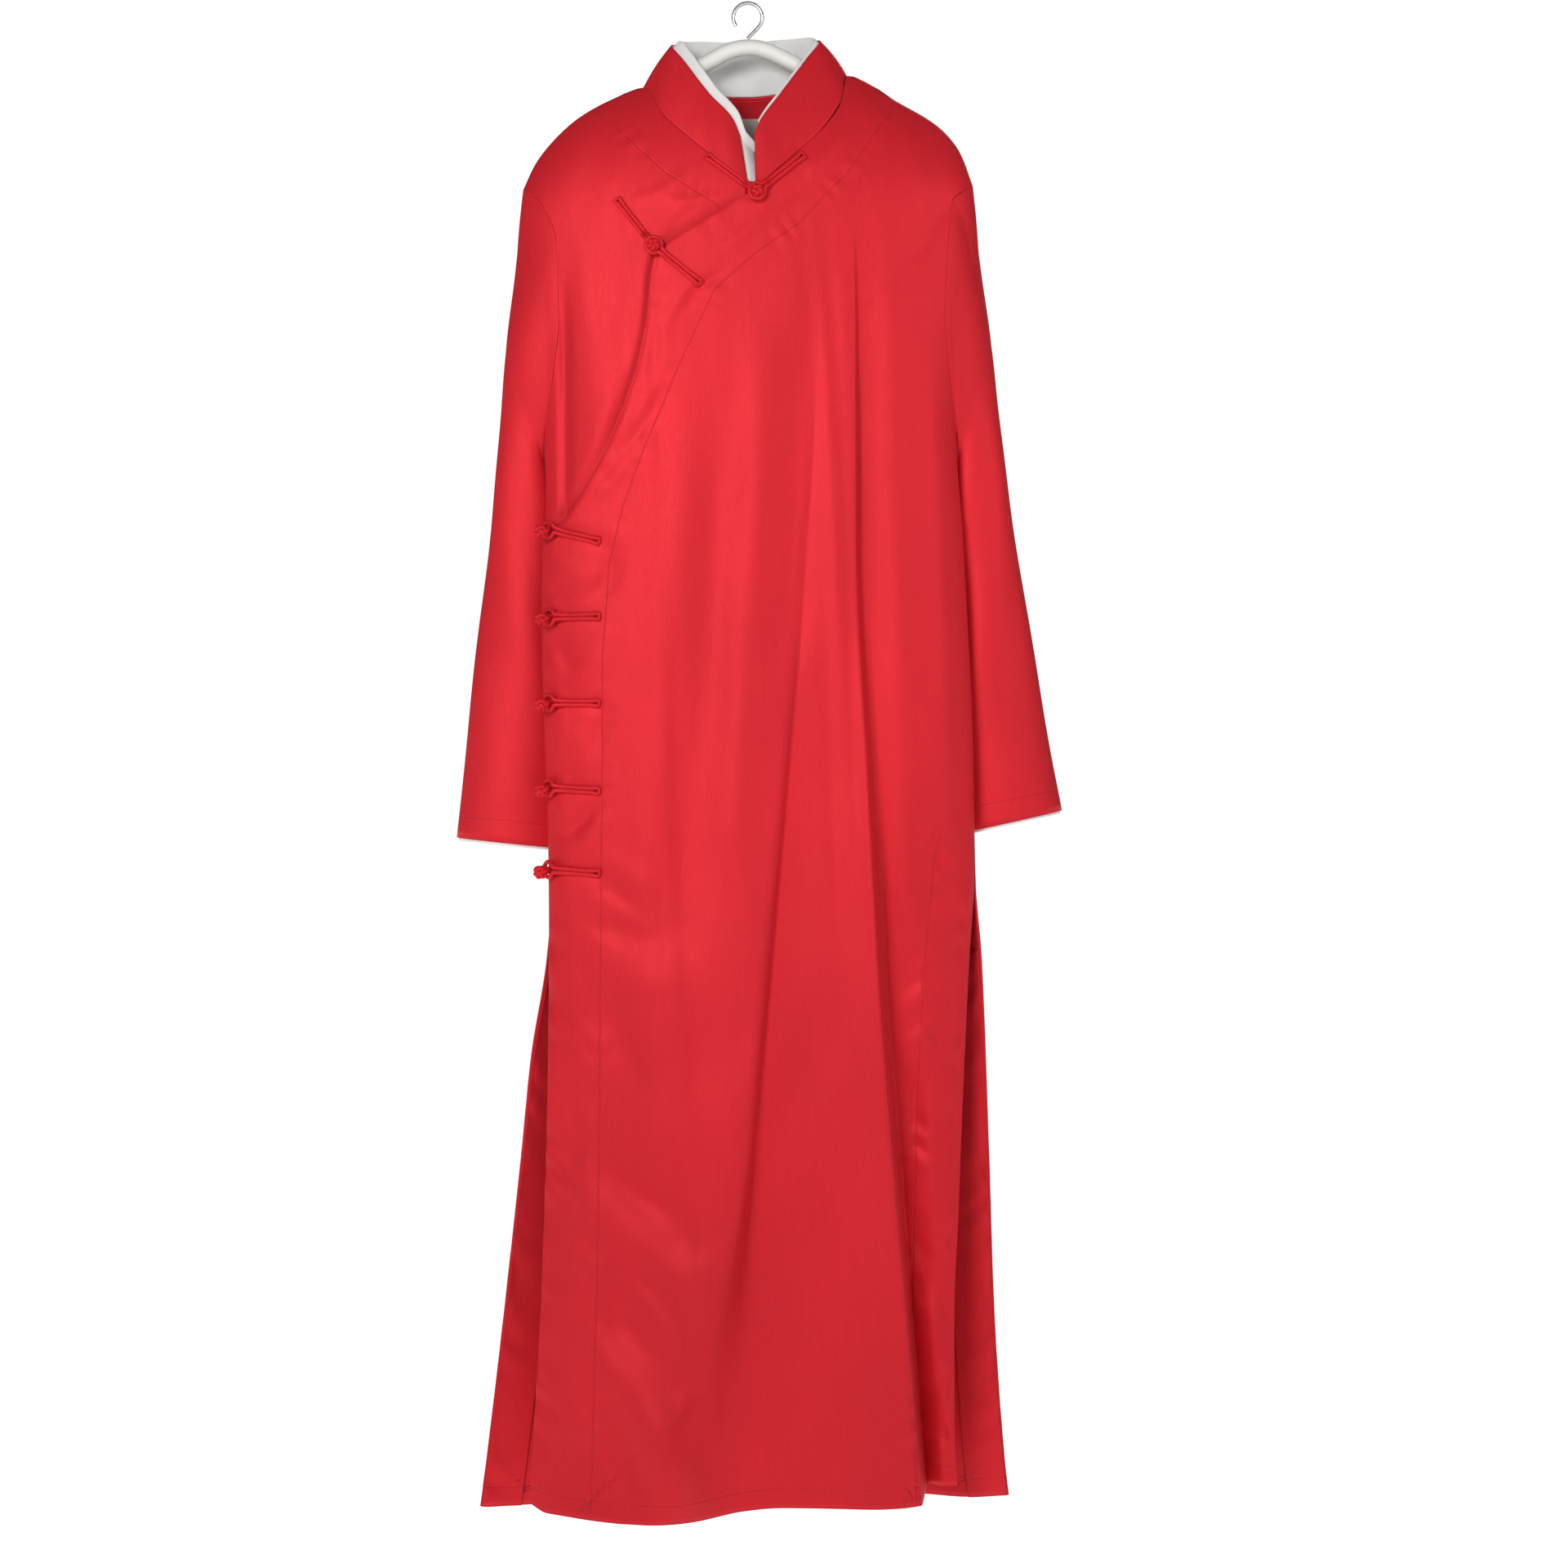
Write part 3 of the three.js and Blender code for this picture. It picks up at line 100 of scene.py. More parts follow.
RIGHT_SHOULDER = (
    (-213, -176), (-201, -151), (-182, -127), (-159, -107), (-128, -90), (-98.5, -79),
)
LEFT_SHOULDER = (94.5, -68), (142, -93), (181, -117), (200, -140), (212, -171)
SHOULDER_LINE = table("x z", *RIGHT_SHOULDER, (0, -60), *LEFT_SHOULDER)
BODY = table(
    "z left right front back front_side back_side",
    (-50, -226, 226, 24, 32, 0, 0),
    (-110, -226, 226, 35, 38, 0, 0),
    (-180, -225, 225, 45, 42, 0, 0),
    (-240, -216, 216, 47, 44, 0, 0),
    (-310, -204, 206, 48, 46, 0, 0),
    (-402, -191.5, 196, 47, 47, 0, 0),
    (-500, -193.5, 202.5, 46, 47, 0, 0),
    (-580, -194.5, 207, 45, 47, 0, 0),
    (-685, -192, 212, 45, 47, 0, 0),
    (-820, -187.5, 214, 46, 48, 0, 0),
    (-900, -187, 209, 44, 45, 3, 5),
    (-1020, -188, 203, 40, 40, 8, 14),
    (-1144, -191, 198, 36, 35, 12, 20),
    (-1240, -194.5, 194, 34, 32, 15, 24),
    (-1330, -199.5, 194, 32, 29, 17, 27),
    (-1440, -204, 199, 30, 27, 18, 30),
)
BACK_FLARE = table(
    "z left right",
    (-50, -226, 226), (-240, -216, 216), (-310, -204, 206), (-402, -191.5, 196),
    (-500, -190.5, 202.5), (-580, -191.5, 207), (-685, -189, 212), (-830, -184.5, 215),
    (-900, -190, 221), (-1000, -206.5, 226), (-1090, -216, 229.5), (-1240, -233, 235),
    (-1380, -250, 245), (-1440, -258, 252),
)
ARMHOLES = table(
    "z front_left front_right back_left back_right",
    (-171, -213, 212, -213, 212),
    (-177, -211, 205, -212, 208),
    (-190, -195, 192, -203, 203),
    (-230, -179, 188, -193, 196),
    (-300, -177, 185, -189, 192),
    (-355, -183, 190, -189, 193),
    (-402, -191.5, 196, -191.5, 196),
)
LAP_EDGE = table(
    "z x",
    (-245, -86), (-262, -89), (-307, -92), (-349, -101), (-387, -114),
    (-429, -133), (-467, -156), (-488, -171), (-501, -187), (-508, -193.6),
)
LEANING_FOLDS = table(
    "z small large dip rise drop",
    (-68, 60, 94.5, 0, 0, 0),
    (-170, 62, 96, 0, 0, 0),
    (-300, 62, 99, 0, 3, 2),
    (-526, 51, 100, 1, 8, 5),
    (-722, 36, 110, 4, 14, 10),
    (-924, 18, 121, 7, 21, 18),
    (-1139, -2, 138, 11, 28, 26),
    (-1325, -26, 154, 15, 34, 31),
    (-1440, -50, 164, 17, 37, 33),
)
FOLD_COLUMNS = "x0 z0 x1 z1 width height"
FRONT_FOLDS = table(
    FOLD_COLUMNS,
    (-8, -300, -62, -960, 24, -4),
    (22, -260, -28, -900, 22, 4),
    (47, -300, 44, -640, 16, -3),
    (-62, -420, -100, -900, 20, 3),
    (135, -160, 150, -1060, 18, 6),
    (176, -200, 184, -820, 24, 8),
    (-132, -1060, -38, -1190, 22, -6),
    (-132, -1180, -52, -1330, 24, -7),
    (-130, -1240, -40, -1440, 24, 9),
    (-80, -860, -72, -1120, 34, 6),
)
BACK_FOLDS = table(
    FOLD_COLUMNS,
    (-120, -200, -168, -1440, 30, 12),
    (-62, -220, -96, -1440, 26, -10),
    (4, -200, -10, -1440, 34, 14),
    (66, -240, 82, -1440, 26, -11),
    (124, -210, 160, -1440, 30, 12),
)
INNER_PANEL_FOLDS = table(
    FOLD_COLUMNS,
    (-172, -250, -171, -640, 6, -10),
    (-140, -260, -150, -640, 18, 3),
)
FRONT_TOP = table(
    "x z",
    (-86, -245), (-68, -229), (-34, -208), (8, -184), (27, -167), (49, -146), (72, -123),
    (88, -97), *LEFT_SHOULDER,
)
INNER_PANEL_TOP = table(
    "x z", *RIGHT_SHOULDER, (-80, -109), (-53, -135), (-15, -166), (0, -177)
)
BACK_TOP = table(
    "x z",
    *RIGHT_SHOULDER, (-76, -82), (-40, -84), (0, -84), (40, -80), (74, -73), *LEFT_SHOULDER,
)
FRONT_HEM = table(
    "x z",
    (-204, -1413), (-188, -1420), (-103, -1423), (-42, -1423), (27, -1417), (102, -1415),
    (162, -1408), (174, -1398), (198, -1397),
)
BACK_HEM = table(
    "x z", (-257, -1429), (-198, -1431), (0, -1427), (204, -1423), (251, -1418)
)
COLLAR_TOP = table(
    "at x y z",
    (0, -7, -32, -132), (0.12, -14, -31, -115), (0.38, -36, -25, -90), (0.72, -60, -12, -56),
    (1, -72, 2, -38), (1.12, -60, 18, -34), (1.3, -36, 29, -32), (1.5, 0, 33, -32),
    (1.7, 34, 29, -30), (1.88, 56, 18, -30), (2, 68, 2, -34), (2.28, 54, -12, -56),
    (2.6, 30, -25, -91), (2.88, 12, -33, -117), (3, 6.5, -37, -130),
)
SLEEVE_COLUMNS = "t out_x out_y out_z in_x in_y in_z half"
RIGHT_SLEEVE = table(
    SLEEVE_COLUMNS,
    (0, -213, 0, -176, -196, 2, -405, 20),
    (0.12, -220, 8, -236, -197, 20, -434, 24),
    (0.3, -231, 20, -345, -177, 38, -500, 27),
    (0.55, -247, 32, -500, -173, 41, -610, 29),
    (0.8, -266, 40, -660, -164, 46, -718, 31),
    (1, -280, 45, -789, -158, 49, -801, 32),
)
LEFT_SLEEVE = table(
    SLEEVE_COLUMNS,
    (0, 212, 0, -171, 200, 2, -405, 20),
    (0.12, 219, 8, -230, 202, 20, -434, 24),
    (0.3, 232, 20, -335, 187, 39, -500, 27),
    (0.55, 253, 32, -487, 189, 44, -608, 29),
    (0.8, 280, 40, -652, 182, 48, -710, 31),
    (1, 301, 45, -763, 178, 50, -790, 32),
)
# name, knot, end of the loop's strap, end of the knot's strap
FRONT_FROGS = (
    ("collar", (9, -188), (52, -152), (-37, -153)),
    ("chest", (-86, -238), (-44, -273), (-121, -193)),
)
# name, height of the knot, height of the strap's end, dip of the cord under the ring
SIDE_FROGS = (
    ("side_1", -499, -511, 4.2),
    ("side_2", -581, -581, 0),
    ("side_3", -661, -662, 0),
    ("side_4", -741, -744, 0),
    ("side_5", -818, -821, 0),
)
SIDE_RING_X = -182.5
SIDE_STRAP_END_X = -138.0
STRAP = SIDE_STRAP_END_X - SIDE_RING_X
SIDE_TURN = 7.0
RING_HEIGHT = 5.4
KNOT_HEIGHT = 6.7
SIDE_KNOT_HEIGHT = 13.6
# Radii of the cords, the rings and the woven balls.
FRONT_LOOP_CORD = 2.05
SIDE_LOOP_CORD = 2.0
KNOT_CORD = 1.85
STRAP_TIP_CORD = 1.45
TAIL_CORD = 1.3
BALL_CORD = 1.95
BALL = 6.0
BALL_NECK = 3.5
FRONT_RING = 7.2
SIDE_RING = 7.3
CORD_GAP = 0.35
CORD_STEP = 0.9

# Where the facings are stitched down, seen from the front.
FRONT_FACING_LINE = np.array(
    [
        (130, -111), (102, -153), (95, -165), (49, -215), (6, -246), (-29, -277), (-44, -308),
        (-67, -358), (-95, -423), (-116, -480), (-129, -533), (-135, -616), (-136, -768),
        (-138, -995), (-139, -1147), (-146, -1440),
    ],
    float,
)
SLIT_FACING_LINE = np.array(
    [
        (179, -777), (173, -833), (166, -907), (160, -1014), (158, -1106), (154, -1254),
        (158, -1440),
    ],
    float,
)
# The edge of the lap, a folded edge that stands a little.
LAP_LINE = np.array(
    [
        (8, -184), (-34, -208), (-68, -229), (-82, -239), (-88, -262), (-92, -307), (-101, -349),
        (-114, -387), (-133, -429), (-156, -467), (-171, -488), (-187, -501), (-193.6, -508),
    ],
    float,
)
INNER_FACING_LINE = np.array([(-120, -125), (-75, -168), (-33, -195), (-10, -214)], float)

# How the lining turns over the overlapped half's edge, and where its tip ends behind the other.
LINING_LOOSE = 0.35
LINING_END = 6
LINING_ROLL = 8.7, 11.5
ROLL_WAY = np.array((0.75, 0.1, 0.66))
TIP_FOOT = np.array((12.5, 2.2, -2.2))
TIP_HEAD = np.array((16.5, 4.8, -18.0))
TIP_BULGE = np.array((0, 1.3, 0))

LABEL_PLACE = 6, -100
LABEL_THICK = 0.7
LABEL_LOOSE = 0.5
HANGER_LINE = (
    (-178, -147), (-158, -128), (-128, -112), (-98.5, -98), (-42, -57), (0, -40.5),
    (42, -55), (94.5, -89), (142, -115), (160, -126), (176, -139),
)
HOOK_STEM = (0, 0, -32.1), (1.2, 0, -30.5)
HOOK_TOP = 1.7
HOOK_BEND = 13.7
HOOK_DEGREES = -50, -20, 10, 40, 70, 100, 130, 160, 190, 215

# Name, place, aim and size in metres, beam in degrees, the stage's power and the light's share of
# it. Narrow beams let the light fall off towards the hem.
LIGHTS = (
    ("key_light", (-1.3, -2.9, 0.3), (0, 0, -0.6), (1.3, 1.1), 56, "key_power", 1),
    ("front_light", (0.4, -3.2, 0.5), (0, 0, -0.5), (1.6, 1.6), 180, "fill_power", 1),
    ("right_light", (2.3, -2.0, 0.4), (0.1, 0, -0.4), (1.0, 1.2), 70, "fill_power", 0.75),
    ("back_light", (0.9, 2.7, 1.3), (0, 0, -0.6), (1.3, 1.3), 70, "back_power", 1),
)
FLOOR_PLACE = 0, 0, -1.66
FLOOR_SIZE = 34
FLOOR_GLOW = 0.42, 0.95
LENS_PLACE = 0.0342, -2.645, -0.7376
LENS = 64.14

# Creases: a stroke through three points, its width and how far it stands out (or sinks in).
CREASE_COLUMNS = "x0 z0 x1 z1 x2 z2 width height"
FRONT_CREASES = table(
    CREASE_COLUMNS,
    # in the lap, between the edge and the facing's stitching
    (-40, -262, -62, -290, -82, -330, 7, 1.6),
    (-22, -262, -50, -282, -72, -318, 5, -1.4),
    (-84, -300, -78, -350, -98, -392, 7, 1.3),
    (-74, -350, -92, -395, -118, -436, 6, -1.4),
    (-100, -420, -122, -450, -148, -474, 7, 1.4),
    (20, -200, 2, -222, -30, -246, 6, 1.4),
    (60, -160, 46, -182, 20, -212, 7, -1.2),
    (84, -120, 76, -146, 52, -176, 8, 1.4),
    (110, -120, 112, -150, 98, -190, 9, -1.4),
    # swags between the side fastenings
    (-132, -514, -128, -545, -150, -566, 9, -2.2),
    (-184, -516, -170, -536, -150, -542, 11, 1.6),
    (-186, -556, -178, -562, -160, -566, 7, -1.3),
    (-184, -592, -176, -612, -160, -630, 9, -2.0),
    (-136, -592, -140, -618, -158, -644, 10, 1.8),
    (-190, -636, -172, -646, -150, -650, 6, -1.2),
    (-180, -674, -168, -692, -146, -706, 11, 1.4),
    (-134, -668, -136, -690, -150, -716, 7, -1.5),
    (-186, -722, -170, -728, -150, -730, 6, -1.1),
    (-142, -752, -154, -772, -178, -786, 7, -2.2),
    (-134, -758, -146, -786, -168, -804, 7, 1.8),
    (-186, -752, -176, -762, -168, -772, 5, 1.1),
    (-140, -824, -118, -842, -92, -858, 10, -2.6),
    (-126, -806, -104, -824, -84, -832, 10, 1.6),
    # below the side fastenings
    (-142, -862, -120, -876, -84, -888, 13, -2.6),
    (-124, -836, -96, -848, -64, -868, 17, 1.5),
    (-136, -905, -104, -925, -66, -920, 16, 2.6),
    (-140, -940, -118, -975, -100, -1020, 14, -2.4),
    # buckles of the lower left
    (-139, -1078, -110, -1118, -66, -1132, 15, -4.2),
    (-124, -1074, -92, -1094, -50, -1100, 15, 3.0),
    (-43, -1130, -42, -1155, -44, -1186, 5, 1.6),
    (-134, -1150, -100, -1166, -72, -1186, 12, 2.8),
    (-130, -1176, -92, -1204, -64, -1262, 16, -4.0),
    (-132, -1216, -112, -1262, -94, -1334, 17, -4.4),
    (-112, -1196, -84, -1236, -72, -1290, 13, 3.2),
    (-148, -1292, -118, -1352, -100, -1420, 16, -3.6),
    (-176, -1300, -160, -1335, -120, -1350, 11, 2.4),
    (-188, -1128, -168, -1142, -142, -1124, 10, 2.2),
    (-190, -1198, -170, -1216, -146, -1192, 10, 2.2),
    (-192, -1086, -172, -1094, -152, -1070, 8, -1.8),
    (-96, -1066, -84, -1076, -72, -1088, 3, 0.5),
    # short sharp ones
    (-24, -1195, -26, -1225, -30, -1262, 3.5, 0.9),
    (6, -1040, -2, -1070, -4, -1104, 4, -0.8),
    (-14, -1252, -8, -1262, 0, -1266, 3, -0.7),
    # the right side, over the slit
    (196, -786, 180, -776, 164, -806, 8, 2.0),
    (192, -838, 176, -846, 160, -872, 7, -1.8),
    (190, -880, 176, -892, 166, -930, 7, 1.8),
    (196, -960, 180, -972, 168, -1004, 8, -1.8),
    (190, -1030, 176, -1046, 162, -1084, 8, 1.8),
    (193, -1128, 178, -1132, 160, -1124, 4, -1.2),
    (192, -1196, 178, -1192, 166, -1206, 7, 1.4),
    (190, -1290, 178, -1300, 168, -1330, 8, -1.6),
    (142, -852, 150, -900, 149, -942, 11, -3.0),
    (160, -935, 164, -975, 158, -1010, 9, 2.6),
    (150, -1010, 160, -1050, 158, -1096, 10, -2.6),
    (160, -1096, 172, -1120, 178, -1150, 10, 2.6),
    (158, -1150, 168, -1190, 182, -1222, 11, -3.2),
    (166, -1236, 172, -1270, 168, -1300, 10, 2.8),
    (160, -1300, 168, -1334, 186, -1356, 11, -3.2),
    # the shoulder
    (196, -190, 168, -215, 150, -262, 12, -1.6),
    (150, -120, 158, -160, 160, -220, 12, 1.6),
)
INNER_CREASES = table(
    CREASE_COLUMNS,
    (-32, -196, -54, -206, -76, -224, 5, -1.5),
    (-60, -170, -80, -186, -104, -192, 6, 1.3),
    (-18, -190, -52, -196, -78, -190, 5, 1.2),
    (-96, -150, -110, -190, -112, -240, 8, -1.2),
    (-140, -130, -148, -180, -150, -240, 12, -1.6),
    (-158, -190, -152, -260, -150, -330, 11, 1.6),
    (-100, -240, -112, -300, -122, -360, 10, -1.4),
    (-118, -330, -132, -390, -152, -450, 9, 1.4),
)

# ---- Curves and fades ----


def smooth(start, end, value):
    t = np.clip((np.asarray(value, float) - start) / (end - start), 0, 1)
    return t * t * (3 - 2 * t)


def mix(a, b, t):
    return a + (b - a) * t


def bell(off, width):
    return np.exp(-((off / width) ** 2))


def curve_through(keys, values):
    """A curve of cubics through the rows that never overshoots them."""
    order = np.argsort(np.asarray(keys, float), kind="stable")
    xs, ys = np.asarray(keys, float)[order], np.asarray(values, float)[order]
    steps = np.diff(xs)
    slopes = np.diff(ys) / steps
    tangents = np.concatenate([slopes[:1], np.zeros(len(xs) - 2), slopes[-1:]])
    for i in range(1, len(xs) - 1):
        a, b = slopes[i - 1], slopes[i]
        tangents[i] = 0 if a * b <= 0 else 2 * a * b / (a + b)

    def at(x):
        x = np.asarray(x, float)
        i = np.clip(np.searchsorted(xs, x, side="left") - 1, 0, len(xs) - 2)
        t = np.clip((x - xs[i]) / steps[i], 0, 1)
        u = 1 - t
        return (
            ys[i] * u * u * (1 + 2 * t)
            + ys[i + 1] * t * t * (3 - 2 * t)
            + steps[i] * tangents[i] * t * u * u
            - steps[i] * tangents[i + 1] * t * t * u
        )

    return at


def columns_of(rows, key):
    return {name: curve_through(rows[key], rows[name]) for name in rows if name != key}


def lengths(points):
    """How far along a line each of its points is."""
    return np.concatenate([[0], np.cumsum(np.linalg.norm(np.diff(points, axis=0), axis=1))])


def points_at(line, t, names):
    return np.stack([line[name](t) for name in names.split()], axis=-1)


def line_through(rows, names):
    """The rows as a line, asked for by the fraction of its length."""
    points = np.stack([rows[n] for n in names], axis=1)
    along = lengths(points)
    parts = [curve_through(along, points[:, i]) for i in range(len(names))]
    return lambda fraction: [part(np.asarray(fraction, float) * along[-1]) for part in parts]


def eased(count, crowd):
    """Even fractions up to 1, crowded to the start, or to the end if crowd is negative."""
    t = np.arange(1, count + 1) / count
    return t**crowd if crowd > 0 else 1 - (1 - t) ** -crowd


def spaced(stops, counts, crowds=()):
    """Values from one stop to the next; a stop is a value or a list of them."""
    stops = np.array(stops, float)[..., None]
    out = [stops[0]]
    for k, count in enumerate(counts):
        crowd = crowds[k] if k < len(crowds) else 1
        out.append(mix(stops[k], stops[k + 1], eased(count, crowd)))
    return np.concatenate(out, axis=-1)


def ripples(s, pitch, seed):
    """An uneven wave, like the puckers along a stitched line."""
    s = np.asarray(s, float)
    bend = 1.3 * np.sin(2 * np.pi * s / (2.7 * pitch) + seed)
    swell = 0.55 + 0.45 * np.sin(2 * np.pi * s / (4.3 * pitch) + 2.1 * seed)
    return np.sin(2 * np.pi * s / pitch + bend) * swell


def beside(x, z, line):
    """How far points are from a line in the front view, and how far along it they stand."""
    dense = []
    for a, b in zip(line[:-1], line[1:]):
        count = max(2, int(np.linalg.norm(b - a) / 4))
        dense.append(a + (b - a) * np.linspace(0, 1, count, endpoint=False)[:, None])
    dense = np.concatenate([*dense, line[-1:]])
    along = lengths(dense)
    tangent = np.gradient(dense, axis=0)
    tangent /= np.linalg.norm(tangent, axis=1)[:, None]
    flat = np.stack([np.ravel(x), np.ravel(z)], axis=1)
    near = np.empty(len(flat), int)
    for k in range(0, len(flat), 8000):
        gap = flat[k : k + 8000, None, :] - dense[None]
        near[k : k + 8000] = np.argmin((gap**2).sum(axis=2), axis=1)
    gap = flat - dense[near]
    side = gap[:, 0] * tangent[near, 1] - gap[:, 1] * tangent[near, 0]
    ahead = (gap * tangent[near]).sum(axis=1)
    past = np.where((near == 0) | (near == len(dense) - 1), ahead, 0)
    shape = np.shape(x)
    distance = np.where(np.abs(past) > 4, np.hypot(side, past) * np.where(side < 0, -1, 1), side)
    return distance.reshape(shape), (along[near] + ahead).reshape(shape)


def strokes(x, z, rows):
    """The height of all creases of a table over each point."""
    x, z = np.asarray(x, float), np.asarray(z, float)
    total = np.zeros(x.shape)
    t = np.linspace(0, 1, 17)
    for x0, z0, x1, z1, x2, z2, width, height in zip(*rows.values()):
        reach = 2.6 * width
        inside = (
            (x > min(x0, x1, x2) - reach)
            & (x < max(x0, x1, x2) + reach)
            & (z > min(z0, z1, z2) - reach)
            & (z < max(z0, z1, z2) + reach)
        )
        if not inside.any():
            continue
        cx = (1 - t) ** 2 * x0 + 2 * t * (1 - t) * (2 * x1 - (x0 + x2) / 2) + t**2 * x2
        cz = (1 - t) ** 2 * z0 + 2 * t * (1 - t) * (2 * z1 - (z0 + z2) / 2) + t**2 * z2
        away = (x[inside][:, None] - cx) ** 2 + (z[inside][:, None] - cz) ** 2
        share = np.exp(-away / (width * width))
        ends = np.sin(np.pi * np.clip(t, 0.04, 0.96)) ** 0.7
        total[inside] += height * (share * ends).max(axis=1)
    return total


# ---- The hanging surfaces ----

shoulder_z = curve_through(SHOULDER_LINE["x"], SHOULDER_LINE["z"])
body = columns_of(BODY, "z")
flare = columns_of(BACK_FLARE, "z")
folds = columns_of(LEANING_FOLDS, "z")
armholes = columns_of(ARMHOLES, "z")
lap_edge = curve_through(LAP_EDGE["z"], LAP_EDGE["x"])
front_hem_z = curve_through(FRONT_HEM["x"], FRONT_HEM["z"])
back_hem_z = curve_through(BACK_HEM["x"], BACK_HEM["z"])
inner_sides = {
    "left": lambda z: body["left"](z) + LAP_OVERHANG * smooth(UNDERARM_Z, UNDERARM_Z - 90, z),
    "right": body["right"],
}


def across(x, z, sides):
    left, right = sides["left"](z), sides["right"](z)
    return np.clip((2 * x - left - right) / (right - left), -1, 1)


def fullness(x, z, sides):
    exponent = mix(ROUND_SIDE, OPEN_SIDE, smooth(SLIT_Z + 40, SLIT_Z - 250, z))
    return (1 - np.abs(across(x, z, sides)) ** FLATNESS) ** exponent


def fall_from(x, z, reach):
    return 1 - np.exp(-np.maximum(0, shoulder_z(x) - z) / reach)


def soft_folds(x, z, rows):
    total = 0
    for x0, z0, x1, z1, width, height in zip(*rows.values()):
        dx, dz = x1 - x0, z1 - z0
        length = math.hypot(dx, dz)
        t = ((x - x0) * dx + (z - z0) * dz) / length**2
        off = ((x - x0) * dz - (z - z0) * dx) / length
        ends = smooth(0, 0.25, t) * (1 if z1 < -1400 else smooth(1, 0.75, t))
        total = total + height * ends * bell(off, width)
    return total


def leaning_folds(x, z):
    """The small fold is lit up to its line and drops behind it; the large one overhangs."""
    small, large = folds["small"](z), folds["large"](z)
    dip, rise, drop = folds["dip"](z), folds["rise"](z) * 0.75, folds["drop"](z) * 1.15
    low = smooth(-1000, -1300, z)
    width = mix(9, 92, smooth(-1080, -1440, z))
    start = small - width * mix(0.5, 0.56, smooth(-1080, -1440, z))
    crest = 0.8 * dip * bell(x - start, 62)
    low = mix(crest, -dip * mix(1, 1.7, low), smooth(0, width, x - start))
    climb = np.clip((x - start - width) / (large - start - width), 0, 1)
    climb = mix(np.sin(climb * np.pi / 2), climb**2.2, smooth(-520, -760, z))
    edge = FOLD_STEP + 4 * smooth(-300, -1000, z)
    beyond = (x - large - edge) / np.maximum(1, body["right"](z) - large - edge)
    beyond = np.clip(beyond, 0, 1)
    ridge = 0.1 * drop * bell(beyond - 0.52, 0.22) * smooth(-640, -800, z)
    ridge = ridge * (1 + 0.45 * np.sin(z / 29 + np.sin(z / 71)))
    return np.select(
        [x < large, x < large + edge],
        [mix(low, rise, climb), mix(rise, -drop, smooth(0, edge, x - large))],
        -drop * (1 - beyond) ** 1.3 + ridge,
    )


def inner_panel_shape(x, z):
    full = fullness(x, z, inner_sides)
    depth = body["front"](z) * full + soft_folds(x, z, INNER_PANEL_FOLDS) * full
    return -depth * fall_from(x, z, FRONT_SHOULDER)


def front_shape(x, z):
    lap = LAP * (1 - smooth(-0.1, 0.6, across(x, z, body)))
    depth = body["front_side"](z) + body["front"](z) * fullness(x, z, body) + lap
    near = fullness(x, z, body) ** FOLD_SPREAD
    stand = (leaning_folds(x, z) + soft_folds(x, z, FRONT_FOLDS)) * near
    return -(depth + stand) * fall_from(x, z, FRONT_SHOULDER)


def back_shape(x, z):
    depth = body["back_side"](z) + body["back"](z) * fullness(x, z, flare)
    stand = soft_folds(x, z, BACK_FOLDS) * fullness(x, z, flare) ** FOLD_SPREAD
    return (depth + stand) * fall_from(x, z, BACK_SHOULDER)


# What the large folds leave out: stitched lines that pucker, creases and slack hems.


def slack(x, z, seed):
    """Cloth that doesn't lie quite flat."""
    a = np.sin(x / 23 + 1.7 * np.sin(z / 61 + seed) + seed)
    return a * np.sin(z / 47 + 1.4 * np.sin(x / 39 + 2 * seed) + 3 * seed)


def front_relief(x, z):
    off, along = beside(x, z, FRONT_FACING_LINE)
    low = smooth(-780, -900, z)
    relief = 0.5 * ripples(along, 19, 1.0) * bell(off, 9)
    slant = along + 0.8 * np.abs(off)
    relief += 0.9 * ripples(slant, 41, 2.0) * bell(off, 19) * low
    relief += 1.2 * slack(x, z, 1.0) * mix(0.35, 1, low)
    streaks = ripples(x + 0.07 * z + 5 * np.sin(z / 190), 33, 3.0)
    relief += mix(0.55, 0.25, low) * streaks * smooth(-190, -330, z)
    off, along = beside(x, z, SLIT_FACING_LINE)
    slant = along - 0.7 * np.abs(off)
    relief += 1.7 * ripples(slant, 31, 3.0) * bell(off, 13) * smooth(-770, -800, z)
    left, right = x - body["left"](z), body["right"](z) - x
    slant = z + 0.6 * left
    relief += 2.2 * ripples(slant, 42, 4.0) * bell(left, 20) * smooth(-830, -900, z)
    relief += 2.0 * ripples(z, 37, 5.0) * bell(right, 16) * smooth(-780, -840, z)
    # Each side strap draws the cloth in along itself.
    for _, knot_z, end_z, _ in SIDE_FROGS:
        strap_z = mix(knot_z, end_z, np.clip((x - SIDE_RING_X) / STRAP, 0, 1))
        pull = (1.5 + 0.8 * ripples(x, 12, knot_z)) * bell(z - strap_z, 6.5)
        relief -= pull * smooth(-190, -178, x) * smooth(-130, -140, x)
    creases = strokes(x, z, FRONT_CREASES)
    relief += np.where(creases > 0, mix(1.0, 0.45, low), mix(1.7, 1.15, low)) * creases
    edge = smooth(0, 9, x - np.where(z > LAP_CORNER_Z, lap_edge(z), body["left"](z) - 9))
    relief = relief * edge * smooth(0, 12, shoulder_z(x) - z) * smooth(3, 9, right)
    off, along = beside(x, z, LAP_LINE)
    off = np.abs(off)
    roll = 0.3 * bell(off - 6, 4) - 0.9 * bell(off, 2.2)
    roll = roll + 0.6 * ripples(along, 33, 9.0) * bell(off, 16)
    return relief + roll * smooth(-188, -206, z)


